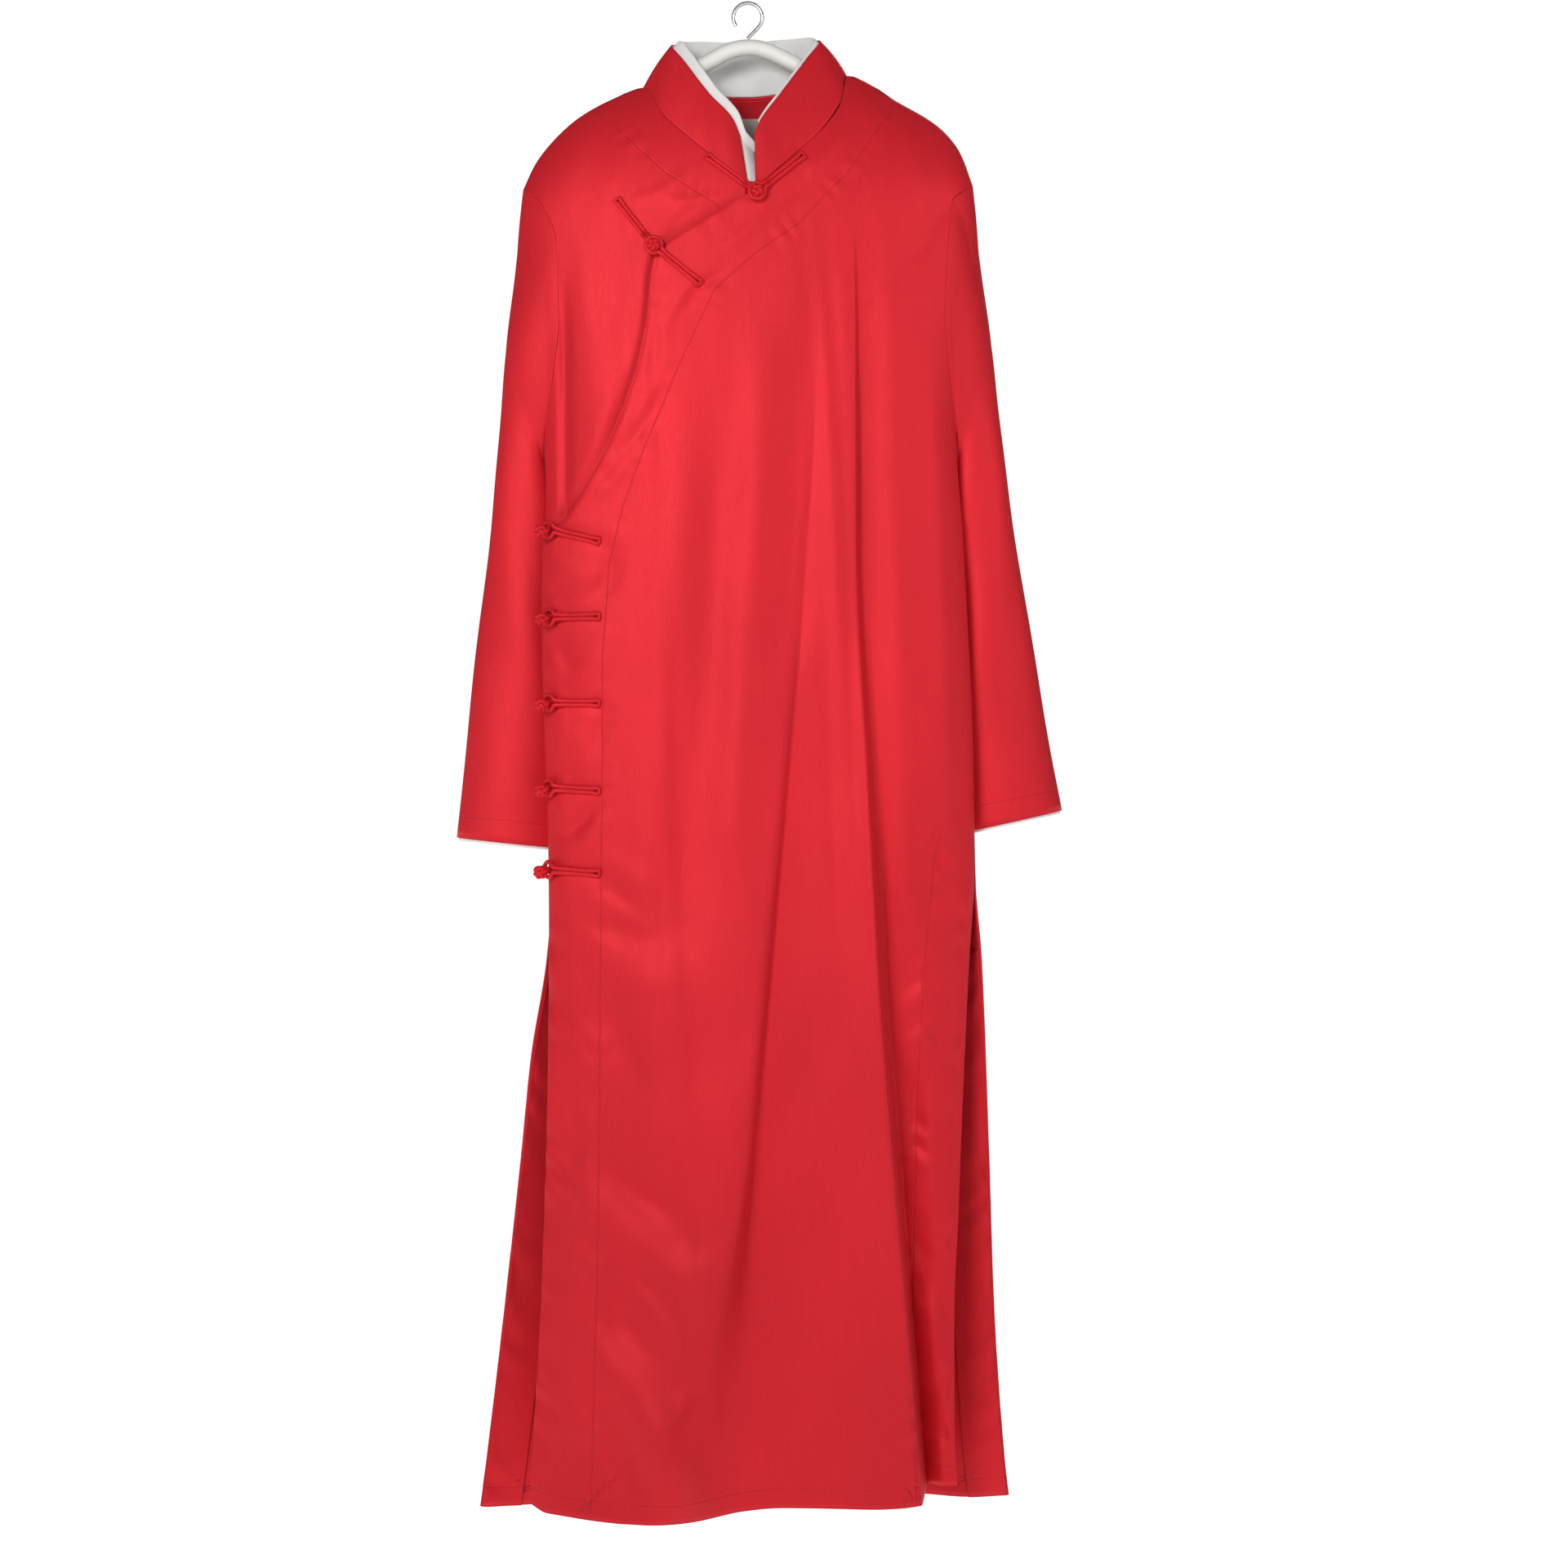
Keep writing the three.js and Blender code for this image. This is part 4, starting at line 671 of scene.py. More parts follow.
def inner_relief(x, z):
    off, along = beside(x, z, INNER_FACING_LINE)
    relief = 0.8 * ripples(along, 17, 6.0) * bell(off, 8)
    relief += strokes(x, z, INNER_CREASES)
    off, along = beside(x, z, LAP_LINE)
    relief -= 2.8 * bell(off - 1, 5) * smooth(-186, -204, z)
    return relief * smooth(0, 12, shoulder_z(x) - z) * smooth(3, 12, x - inner_sides["left"](z))


def back_relief(x, z):
    left, right = x - flare["left"](z), flare["right"](z) - x
    slit = smooth(-840, -920, z)
    relief = 2.0 * ripples(z + 0.5 * left, 47, 7.0) * bell(left, 20) * slit
    relief += 2.0 * ripples(z + 0.5 * right, 41, 8.0) * bell(right, 20) * slit
    relief += 1.2 * slack(x, z, 2.0) * mix(0.5, 1, slit)
    return relief * smooth(0, 12, shoulder_z(x) - z) * smooth(0, 8, np.minimum(left, right))


def front_y(x, z):
    return front_shape(x, z) - front_relief(x, z)


def inner_y(x, z):
    return inner_panel_shape(x, z) - inner_relief(x, z)


def back_y(x, z):
    return back_shape(x, z) + back_relief(x, z)


# ---- Grids ----


def unit(v):
    return v / np.maximum(1e-9, np.linalg.norm(v, axis=-1, keepdims=True))


def grid_of(points, ring=False, seam=None, facing=1):
    """Middle points and the cloth's outward direction at each of them."""
    rows = len(points)
    below = points[np.minimum(np.arange(rows) + 1, rows - 1)]
    over = points[np.maximum(np.arange(rows) - 1, 0)]
    if ring:
        sideways = np.roll(points, -1, axis=1) - np.roll(points, 1, axis=1)
    else:
        cols = points.shape[1]
        sideways = points[:, np.minimum(np.arange(cols) + 1, cols - 1)]
        sideways = sideways - points[:, np.maximum(np.arange(cols) - 1, 0)]
    out = np.cross(below - over, sideways) * facing
    if seam is not None:
        out[..., 1] = np.where(seam, 0, out[..., 1])
    return {"points": points, "out": unit(out), "ring": ring}


def moved(grid, distance):
    return grid["points"] + grid["out"] * distance


def part_of(grid, rows, cols):
    return {
        "points": grid["points"][rows, cols],
        "out": grid["out"][rows, cols],
        "ring": grid["ring"],
    }


def outline(top, bottom, left, right):
    """A four-sided panel; the shape of each edge fades out across it."""
    (x00, _), (x10, _) = top(0), top(1)
    (x01, _), (x11, _) = bottom(0), bottom(1)

    def cut(u, v):
        u, v = np.asarray(u, float), np.asarray(v, float)
        (lx, lz), (rx, rz), (tx, tz), (bx, bz) = left(v), right(v), top(u), bottom(u)
        left_x, right_x = mix(x00, x01, v), mix(x10, x11, v)
        fade_top, fade_low = (1 - v) ** EDGE_FADE, v**EDGE_FADE
        x = (
            mix(left_x, right_x, u)
            + (1 - u) ** SIDE_FADE * (lx - left_x)
            + u**SIDE_FADE * (rx - right_x)
            + fade_top * (tx - mix(x00, x10, u))
            + fade_low * (bx - mix(x01, x11, u))
        )
        z = (
            mix(lz, rz, u)
            + fade_top * (tz - mix(top(0)[1], top(1)[1], u))
            + fade_low * (bz - mix(bottom(0)[1], bottom(1)[1], u))
        )
        return x, z

    return cut


def side_edge(stops, heights, x_at):
    stops, heights = np.array(stops, float), np.array(heights, float)

    def edge(v):
        z = np.interp(v, stops, heights)
        return x_at(z), z

    return edge


def above(armhole, side):
    return lambda z: np.where(z > UNDERARM_Z, armhole(z), side(z))


def crossing(cut, v, line_x):
    """Where along rows of the outline they cross the line x = line_x(z)."""
    v = np.asarray(v, float)
    low, high = np.zeros(v.shape), np.ones(v.shape)
    for _ in range(40):
        middle = (low + high) / 2
        x, z = cut(middle, v)
        under = x < line_x(z)
        low, high = np.where(under, middle, low), np.where(under, high, middle)
    return (low + high) / 2


def panel_grid(cut, rows, columns, surface, side, seam):
    """columns holds one value of u for each row and column."""
    v = np.repeat(np.array(rows)[:, None], columns.shape[1], axis=1)
    x, z = cut(columns, v)
    y = surface(x, z)
    gap = side * SEAM / 2
    y = np.where(seam, gap, side * np.maximum(side * y, SEAM / 2))
    return grid_of(np.stack([x, y, z], axis=-1), seam=seam, facing=-side)


FINE = {"front": (9, 6), "inner": (9, 6), "back": (12, 7)}  # rows and columns a step
TOP_CROWD = 1.25
SLEEVE_ROWS = 105
COLLAR_ROWS = 25
LABEL_GRID = 30, 22
FACING_COLUMNS = 3
EDGE_ROWS = 6  # an edge's direction is taken over these, so fine rows don't make it turn


def columns_between(lines, counts, crowds, factor):
    """One row of u values for each row of the panel, from the crossings with its lines."""
    edge = np.zeros(len(lines[0]))
    return spaced([edge, *lines, edge + 1], [c * factor for c in counts], crowds)


def front_grid():
    row_step, col_step = FINE["front"]
    stops, counts = [0, 0.19, 0.275, 0.54, 1], [c * row_step for c in (9, 3, 8, 13)]
    left = side_edge(
        stops,
        [FRONT_TOP["z"][0], UNDERARM_Z, LAP_CORNER_Z, SLIT_Z, FRONT_HEM["z"][0]],
        lambda z: np.where(z > LAP_CORNER_Z, lap_edge(z), body["left"](z)),
    )
    right = side_edge(
        stops,
        [FRONT_TOP["z"][-1], UNDERARM_Z, LAP_CORNER_Z, SLIT_Z, FRONT_HEM["z"][-1]],
        above(armholes["front_right"], body["right"]),
    )
    cut = outline(line_through(FRONT_TOP, "xz"), line_through(FRONT_HEM, "xz"), left, right)
    lines = [
        curve_through([-1440, -600, -184, -60], [-124, -58, 8, 8]),
        folds["small"],
        lambda z: folds["small"](z) + FOLD_STEP,
        folds["large"],
        lambda z: folds["large"](z) + FOLD_STEP,
    ]
    rows = spaced(stops, counts, [TOP_CROWD])
    share = smooth(0, 0.12, rows)
    met = [mix(crossing(cut, 0 * rows, f), crossing(cut, rows, f), share) for f in lines]
    steps = (4, 5, 1, 5, 2, 6)
    columns = columns_between(met, steps, [1.5, 1, 1, 1, 1, -1.5], col_step)
    corner = sum(steps[:4]) * col_step
    slit = sum(counts[:3])
    seam = np.zeros(columns.shape, bool)
    seam[0, corner:] = True
    seam[counts[0] : slit + 1, -1] = True
    grid = panel_grid(cut, rows, columns, front_y, -1, seam)
    return {**grid, "neck": (steps[0] * col_step, corner), "underarm": counts[0], "slit": slit}


def inner_grid():
    row_step, col_step = FINE["inner"]
    stops, counts = [0, 0.34, 1], [c * row_step for c in (9, 8)]
    left = side_edge(
        stops,
        [INNER_PANEL_TOP["z"][0], UNDERARM_Z, INNER_PANEL_END_Z],
        above(armholes["front_left"], inner_sides["left"]),
    )
    right = side_edge(
        stops,
        [INNER_PANEL_TOP["z"][-1], UNDERARM_Z, INNER_PANEL_END_Z],
        lambda z: mix(0, -82, smooth(-177, -600, z)),
    )

    def bottom(u):
        return mix(left(1)[0], right(1)[0], u), INNER_PANEL_END_Z + 0 * np.asarray(u, float)

    cut = outline(line_through(INNER_PANEL_TOP, "xz"), bottom, left, right)
    rows = spaced(stops, counts, [TOP_CROWD])
    from_neck = curve_through([-845, -300, -79], [-136, -122, -98.5])
    steps = (5, 8)
    columns = columns_between([crossing(cut, rows, from_neck)], steps, [1.4, 1], col_step)
    corner = steps[0] * col_step
    seam = np.zeros(columns.shape, bool)
    seam[0, : corner + 1] = True
    seam[counts[0] :, 0] = True
    grid = panel_grid(cut, rows, columns, inner_y, -1, seam)
    return {**grid, "neck": (corner, sum(steps) * col_step), "underarm": counts[0]}


def back_grid():
    row_step, col_step = FINE["back"]
    stops, counts = [0, 0.19, 0.54, 1], [c * row_step for c in (8, 6, 9)]
    edge_left = above(armholes["back_left"], flare["left"])
    edge_right = above(armholes["back_right"], flare["right"])
    left = side_edge(stops, [BACK_TOP["z"][0], UNDERARM_Z, SLIT_Z, BACK_HEM["z"][0]], edge_left)
    right = side_edge(stops, [BACK_TOP["z"][-1], UNDERARM_Z, SLIT_Z, BACK_HEM["z"][-1]], edge_right)
    cut = outline(line_through(BACK_TOP, "xz"), line_through(BACK_HEM, "xz"), left, right)
    lines = [
        lambda z: edge_left(z) + FACING_WIDTH,
        curve_through([-1440, -300, -79], [-130, -112, -98.5]),
        curve_through([-1440, -300, -68], [128, 112, 94.5]),
        lambda z: edge_right(z) - FACING_WIDTH,
    ]
    rows = spaced(stops, counts, [TOP_CROWD])
    met = [crossing(cut, rows, line) for line in lines]
    steps = (FACING_COLUMNS, 2, 10, 2, FACING_COLUMNS)
    columns = columns_between(met, steps, [], col_step)
    corners = (sum(steps[:2]) * col_step, sum(steps[:3]) * col_step)
    slit = counts[0] + counts[1]
    seam = np.zeros(columns.shape, bool)
    seam[0, : corners[0] + 1] = seam[0, corners[1] :] = True
    seam[counts[0] : slit + 1, 0] = seam[counts[0] : slit + 1, -1] = True
    grid = panel_grid(cut, rows, columns, back_y, 1, seam)
    return {**grid, "neck": corners, "underarm": counts[0], "slit": slit}


def off_edge(p, within, before, after, gap):
    """Edge points moved off their panel, square to the edge."""
    along = unit(after - before)
    away = p - within
    away = unit(away - (away * along).sum(axis=-1, keepdims=True) * along)
    return p + away * np.asarray(gap)[..., None]


def armhole_of(grid, last):
    edge, within = (-1, -2) if last else (0, 1)
    points, under = grid["points"], grid["underarm"]
    rows = np.arange(under + 1)
    before = points[np.maximum(rows - EDGE_ROWS, 0), edge]
    after = points[rows + EDGE_ROWS, edge]
    gap = mix(SLEEVE_GAP, UNDERARM_GAP, smooth(0.6, 1, rows / under))
    return off_edge(points[rows, edge], points[rows, within], before, after, gap)


def sleeve_grid(rows, front_edge, back_edge, sign):
    line = columns_of(rows, "t")
    edge = np.concatenate([front_edge, back_edge[1:-1][::-1]])
    low = len(front_edge) - 1
    edge[0, 1] = edge[low, 1] = 0
    step = np.linalg.norm(np.roll(edge, -1, axis=0) - edge, axis=1)
    to = np.concatenate([[0], np.cumsum(step)])
    j = np.arange(len(edge))
    turn = np.where(
        j <= low,
        np.pi * to[j] / to[low],
        np.pi * (1 + (to[j] - to[low]) / (to[-1] - to[low])),
    )
    t = spaced([0, 1], [SLEEVE_ROWS], [1.3])[:, None]
    outer = points_at(line, t, "out_x out_y out_z")
    under = points_at(line, t, "in_x in_y in_z")
    p = (outer + under) / 2 + (outer - under) * np.cos(turn)[None, :, None] / 2
    fold = 1 + 0.06 * np.sin(3 * turn + 4 * t) * smooth(0.2, 0.6, t)
    p[..., 1] -= line["half"](t) * np.sin(turn) * fold
    joined = edge[None] + (p - edge[None]) * smooth(0, 0.24, t)[..., None]
    grid = grid_of(joined, ring=True, facing=-sign)
    loose = smooth(0.06, 0.2, t) * smooth(1, 0.93, t)
    drag = 1.5 * np.sin(2.2 * turn + 26 * t) * bell(t - 0.2, 0.16)
    drag = drag + 0.8 * np.sin(3 * turn - 17 * t + 1.4) * bell(t - 0.62, 0.3)
    grid = grid_of(joined + grid["out"] * (loose * drag)[..., None], ring=True, facing=-sign)
    return {**grid, "turn": turn}


front = front_grid()
inner = inner_grid()
back = back_grid()
right_sleeve = sleeve_grid(RIGHT_SLEEVE, armhole_of(inner, False), armhole_of(back, False), -1)
left_sleeve = sleeve_grid(LEFT_SLEEVE, armhole_of(front, True), armhole_of(back, True), 1)

# ---- The collar ----


def neckline():
    def along(grid, start, end, at):
        step = 1 if end > start else -1
        j = np.arange(start, end + step, step)
        row = grid["points"][0]
        before = row[np.maximum(j - EDGE_ROWS, 0)]
        after = row[np.minimum(j + EDGE_ROWS, len(row) - 1)]
        place = at + np.arange(len(j)) / (len(j) - 1)
        gap = mix(COLLAR_CORNER_GAP, COLLAR_GAP, smooth(0.15, 0.45, np.abs(place - 2.12)))
        return place, off_edge(row[j], grid["points"][6][j], before, after, gap)

    right = along(inner, inner["neck"][1], inner["neck"][0], 0)
    behind = along(back, back["neck"][0], back["neck"][1], 1)
    left = along(front, front["neck"][1], front["neck"][0], 2)
    places = np.concatenate([right[0], behind[0][1:-1], left[0]])
    return places, np.concatenate([right[1], behind[1][1:-1], left[1]])


def collar_grid():
    top = columns_of(COLLAR_TOP, "at")
    places, foot = neckline()
    brim = points_at(top, places, "x y z")
    rise = np.linspace(0, 1, COLLAR_ROWS)[:, None, None]
    grid = grid_of(foot + (brim - foot) * rise, facing=1)
    bow = 1.4 * np.sin(np.pi * rise[..., 0]) * smooth(0, 0.2, places) * smooth(3, 2.8, places)
    wave = 0.5 * ripples(places * 100, 31, 9.0) * np.sin(np.pi * rise[..., 0])
    return {**grid_of(grid["points"] + grid["out"] * (bow + wave)[..., None]), "places": places}


def lining_layers(grid):
    gap = CLOTH / 2 + SEAM + LINING_LOOSE

    def layer(distance):
        rows = moved(grid, distance)
        up = unit(rows[-1] - rows[-2])
        # On the overlapped half it rolls out over the edge; elsewhere it only shows above it.
        places = grid["places"][:, None]
        rolled = mix(*LINING_ROLL, np.clip(places, 0, 1)) * ROLL_WAY
        over = mix(rolled, up * LINING_ABOVE, smooth(0.9, 1.1, places))
        over = np.linspace(0, 1, LINING_END + 1)[1:, None, None] * over[None]
        rows = np.concatenate([rows[1:], rows[-1] + over])
        rise = np.linspace(0, 1, len(rows))[:, None, None]
        # Past the overlapped half's front edge a tip closes the gap behind the other half.
        past = mix(TIP_FOOT, TIP_HEAD, rise)
        out = np.linspace(1, 0, LINING_END)[None, :-1, None]
        tip = rows[:, :1] + past * out - np.sin(math.pi * out) * TIP_BULGE
        return np.concatenate([tip, rows[:, :-LINING_END]], axis=1)

    return layer(-gap), layer(-gap - LINING)


collar = collar_grid()

# ---- Meshes ----


def placed(obj, node):
    """The piece stands for its CAD node and moves with the robe."""
    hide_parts(node)
    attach(obj, "root")
    return obj


def mesh_object(name, vertices, faces, material, uv=None, seam=None):
    mesh = bpy.data.meshes.new(name)
    mesh.from_pydata((np.asarray(vertices) * MM).tolist(), [], faces)
    mesh.polygons.foreach_set("use_smooth", np.ones(len(mesh.polygons), bool))
    corner = np.empty(len(mesh.loops), int)
    mesh.loops.foreach_get("vertex_index", corner)
    for layer_name, values in (("cloth", uv), ("seam", seam)):
        if values is not None:
            layer = mesh.uv_layers.new(name=layer_name)
            layer.data.foreach_set("uv", (np.asarray(values)[corner] * MM).ravel())
    mesh.materials.append(material)
    mesh.update()
    obj = bpy.data.objects.new(name, mesh)
    bpy.context.scene.collection.objects.link(obj)
    return obj


def faces_between(rows, cols, ring, closed=False):
    """The four-sided faces of a grid of points; a ring's columns and a closed grid's rows meet."""
    i = np.arange(rows if closed else rows - 1)
    j = np.arange(cols if ring else cols - 1)
    i, j = np.meshgrid(i, j, indexing="ij")
    here, below, beyond = i * cols, (i + 1) % rows * cols, (j + 1) % cols
    corners = [here + j, below + j, below + beyond, here + beyond]
    return np.stack(corners, axis=-1).reshape(-1, 4)


def shell(name, outer, inner_layer, material, ring=False, uv=None, seam=None):
    """Two layers of points closed into one thin wall whose faces look out."""
    rows, cols = outer.shape[:2]
    n = rows * cols
    face = faces_between(rows, cols, ring)
    faces = [face, face[:, ::-1] + n]
    j = np.arange(cols if ring else cols - 1)
    k = (j + 1) % cols
    faces.append(np.stack([j, k, k + n, j + n], axis=1))
    low = (rows - 1) * cols
    faces.append(np.stack([low + j, low + j + n, low + k + n, low + k], axis=1))
    if not ring:
        i = np.arange(rows - 1) * cols
        faces.append(np.stack([i, i + n, i + cols + n, i + cols], axis=1))
        i = i + cols - 1
        faces.append(np.stack([i, i + cols, i + cols + n, i + n], axis=1))
    faces = np.concatenate(faces)
    points = np.concatenate([outer.reshape(-1, 3), inner_layer.reshape(-1, 3)])
    double = [None if v is None else np.concatenate([v.reshape(-1, 2)] * 2) for v in (uv, seam)]
    return outward_faces(mesh_object(name, points, faces.tolist(), material, *double))


def outward_faces(obj):
    """Turns a closed mesh's faces out by the sign of its volume."""
    mesh = obj.data
    mesh.calc_loop_triangles()
    co = np.empty(len(mesh.vertices) * 3)
    mesh.vertices.foreach_get("co", co)
    co = co.reshape(-1, 3)
    tri = np.empty(len(mesh.loop_triangles) * 3, int)
    mesh.loop_triangles.foreach_get("vertices", tri)
    a, b, c = (co[tri.reshape(-1, 3)[:, k]] for k in range(3))
    if (a * np.cross(b, c)).sum() < 0:
        mesh.flip_normals()
    return obj


def tube(path, radius, sides=12, closed=False, wrinkle=0.0, pitch=3.4, seed=0.0):
    """Points and faces of a cord along a path; its bias binding wrinkles a little."""
    path = np.asarray(path, float)
    count = len(path)
    if closed:
        tangent = unit(np.roll(path, -1, axis=0) - np.roll(path, 1, axis=0))
    else:
        tangent = unit(np.gradient(path, axis=0))
    sides_at = [unit(np.cross(tangent[0], (0.13, 0.31, 0.94)))]
    for k in range(1, count):
        side = sides_at[-1] - tangent[k] * np.dot(sides_at[-1], tangent[k])
        sides_at.append(unit(side))
    side = np.array(sides_at)
    up = np.cross(tangent, side)
    if closed:
        last = side[-1] - tangent[0] * np.dot(side[-1], tangent[0])
        twist = math.atan2(np.dot(last, up[0]), np.dot(last, side[0]))
        turn = -twist * np.arange(count) / count
        side, up = (
            side * np.cos(turn)[:, None] + up * np.sin(turn)[:, None],
            up * np.cos(turn)[:, None] - side * np.sin(turn)[:, None],
        )
    angle = 2 * np.pi * np.arange(sides) / sides
    along = lengths(path)
    r = np.broadcast_to(np.asarray(radius, float), (count,))[:, None]
    ruck = ripples(along[:, None] + 0.9 * np.sin(angle + seed), pitch, seed)
    r = r * (1 + wrinkle * ruck)
    points = (
        path[:, None]
        + side[:, None] * (r * np.cos(angle))[..., None]
        + up[:, None] * (r * np.sin(angle))[..., None]
    )
    faces = faces_between(count, sides, True, closed)[:, [0, 3, 2, 1]].tolist()
    points = points.reshape(-1, 3)
    uv = np.stack([np.repeat(along, sides), np.tile(angle * np.mean(r), count)], axis=1)
    if not closed:
        for end, order in ((0, 1), (count - 1, -1)):
            tip = path[end] - tangent[end] * order * np.mean(r[end]) * 0.5
            points = np.concatenate([points, tip[None]])
            uv = np.concatenate([uv, uv[end * sides : end * sides + 1]])
            centre = len(points) - 1
            for s in range(sides):
                loop = (end * sides + (s + 1) % sides, end * sides + s, centre)
                faces.append(loop if order == 1 else loop[::-1])
    return points, faces, uv


def gathered(name, parts, material):
    """Several point-and-face lists as one object."""
    points, faces, uv, start = [], [], [], 0
    for p, f, w in parts:
        points.append(p)
        uv.append(w)
        faces += [tuple(k + start for k in face) for face in f]
        start += len(p)
    return mesh_object(name, np.concatenate(points), faces, material, np.concatenate(uv))


def softened(points, times):
    """A polyline with its corners rounded."""
    points = np.asarray(points, float)
    for _ in range(times):
        here, there = points[:-1], points[1:]
        a, b = here * 0.75 + there * 0.25, here * 0.25 + there * 0.75
        fresh = np.stack([a, b], axis=1).reshape(-1, points.shape[1])
        points = np.concatenate([points[:1], fresh, points[-1:]])
    return points


def evenly(points, step=CORD_STEP):
    """The same line with points at even steps."""
    points = np.asarray(points, float)
    along = lengths(points)
    count = max(4, int(along[-1] / step))
    s = np.linspace(0, along[-1], count)
    return np.stack([np.interp(s, along, points[:, k]) for k in range(points.shape[1])], axis=1)


# ---- Frog fastenings ----

FRONT_SIDE = (front_shape, front_y)
INNER_SIDE = (inner_panel_shape, inner_y)


def outwards(panel, x, z, reach=3.0):
    shape = panel[0]
    slope_x = (shape(x + reach, z) - shape(x - reach, z)) / (2 * reach)
    slope_z = (shape(x, z + reach) - shape(x, z - reach)) / (2 * reach)
    return unit(np.stack([slope_x, -np.ones_like(slope_x), slope_z], axis=-1))


def on_panel(panel, x, z, out):
    x, z = np.asarray(x, float), np.asarray(z, float)
    y = panel[1](x, z)
    return np.stack([x, y, z], axis=-1) + outwards(panel, x, z) * np.asarray(out)[..., None]


def strap_place(panel, knot, end, s, w, out):
    """Points s along a strap from the knot and w to its side, out from the cloth."""
    knot, end = np.array(knot, float), np.array(end, float)
    along = unit(end - knot)
    over = np.array([-along[1], along[0]])
    flat = knot + np.asarray(s)[:, None] * along + np.asarray(w)[:, None] * over
    return on_panel(panel, flat[:, 0], flat[:, 1], out)


def knot_ball(centre, out):
    """A woven button: one cord in three turns that passes over and under itself."""
    bights, leads, steps = 5, 3, 300
    middle = BALL - BALL_CORD * 0.95
    t = np.linspace(0, 2 * np.pi * leads, steps, endpoint=False)
    wave = bights * t / leads
    tilt = 1.02 * np.sin(wave)
    r = middle + 0.62 * BALL_CORD * np.sin(2 * wave)
    flat = r * np.cos(tilt)
    local = np.stack([flat * np.cos(t), flat * np.sin(t), r * np.sin(tilt)], axis=1)
    axis = unit(np.asarray(out, float))
    first = unit(np.cross(axis, (0.2, 0.1, 0.97)))
    second = np.cross(axis, first)
    path = centre + local[:, :1] * first + local[:, 1:2] * second + local[:, 2:] * axis
    cord = tube(path, BALL_CORD, sides=10, closed=True, wrinkle=0.03, pitch=2.6)
    # A plain core fills the gaps between the turns.
    rings, spokes = 12, 20
    lat = np.pi * np.arange(rings + 1)[:, None, None] / rings
    lon = 2 * np.pi * np.arange(spokes)[None, :, None] / spokes
    around = np.cos(lon) * first + np.sin(lon) * second
    core = (centre + middle * (np.sin(lat) * around + np.cos(lat) * axis)).reshape(-1, 3)
    faces = faces_between(rings + 1, spokes, True).tolist()
    return [cord, (core, faces, np.zeros((len(core), 2)))]


def strap_tip(panel, knot, end):
    """The fold that closes a strap: a short piece of cord across its end."""
    w = np.linspace(-3.3, 3.3, 9)
    s = math.dist(knot, end) + 0.5 - 0.05 * w**2
    place = strap_place(panel, knot, end, s, w, CLOTH / 2 + KNOT_CORD)
    return tube(place, STRAP_TIP_CORD, wrinkle=0.04)


# A ring is open towards its strap; its angles are counted from there.
RING_ANGLES = np.radians(np.linspace(19, 341, 30))


def front_loop(knot, end):
    """One cord: out along the strap, round the knot and back beside itself."""
    length = math.dist(knot, end)
    beside_w = FRONT_LOOP_CORD * 0.93
    outer = [
        (length, beside_w + 0.9), (length - 3, beside_w + 0.5), (length - 7, beside_w),
        (length * 0.5, beside_w), (FRONT_RING + 5, beside_w), (FRONT_RING + 2.6, beside_w),
    ]
    arc = [(FRONT_RING * math.cos(a), FRONT_RING * math.sin(a)) for a in RING_ANGLES]
    path = evenly(softened(outer + arc + [(s, -w) for s, w in reversed(outer)], 2))
    s, w = path[:, 0], path[:, 1]
    base = CLOTH / 2 + CORD_GAP + FRONT_LOOP_CORD
    lift = CLOTH / 2 + RING_HEIGHT - base
    height = base + lift * smooth(FRONT_RING + 9, FRONT_RING + 1, s)
    points = strap_place(FRONT_SIDE, knot, end, s, w, height)
    cord = tube(points, FRONT_LOOP_CORD, wrinkle=0.05, pitch=3.1, seed=1.0)
    return [cord, strap_tip(FRONT_SIDE, knot, end)]


def front_frog(name, knot, loop_end, knot_end, material):
    foot = on_panel(FRONT_SIDE, knot[0], knot[1], CLOTH / 2)
    out = outwards(FRONT_SIDE, np.array(knot[0], float), np.array(knot[1], float))
    loop = gathered(f"{name}_frog_loop", front_loop(knot, loop_end), material)
    centre = foot + out * KNOT_HEIGHT
    length = math.dist(knot, knot_end)
    # The knot's strap lies on the inner panel and climbs to the ring over the lap.
    over = float(inner_y(*map(float, knot)) - front_y(*map(float, knot)))
    strands = []
    for sign in (1, -1):
        path = [
            (length, 2.7), (length - 3, 2.3), (length - 7, 1.75), (length * 0.5, 1.75), (12, 1.75),
            (6, 1.4), (2, 0.8),
        ]
        path = evenly(softened(path, 2))
        s, w = path[:, 0], path[:, 1] * sign
        base = CLOTH / 2 + CORD_GAP + KNOT_CORD
        height = base + (over + 1.2) * smooth(17, 8, s)
        points = strap_place(INNER_SIDE, knot, knot_end, s, w, height)
        points = np.concatenate([points, (points[-1] * 0.5 + centre * 0.5)[None], centre[None]])
        strands.append(tube(evenly(points), KNOT_CORD, wrinkle=0.05, pitch=3.0))
    parts = [*strands, strap_tip(INNER_SIDE, knot, knot_end), *knot_ball(centre, out)]
    return loop, gathered(f"{name}_frog_knot", parts, material)


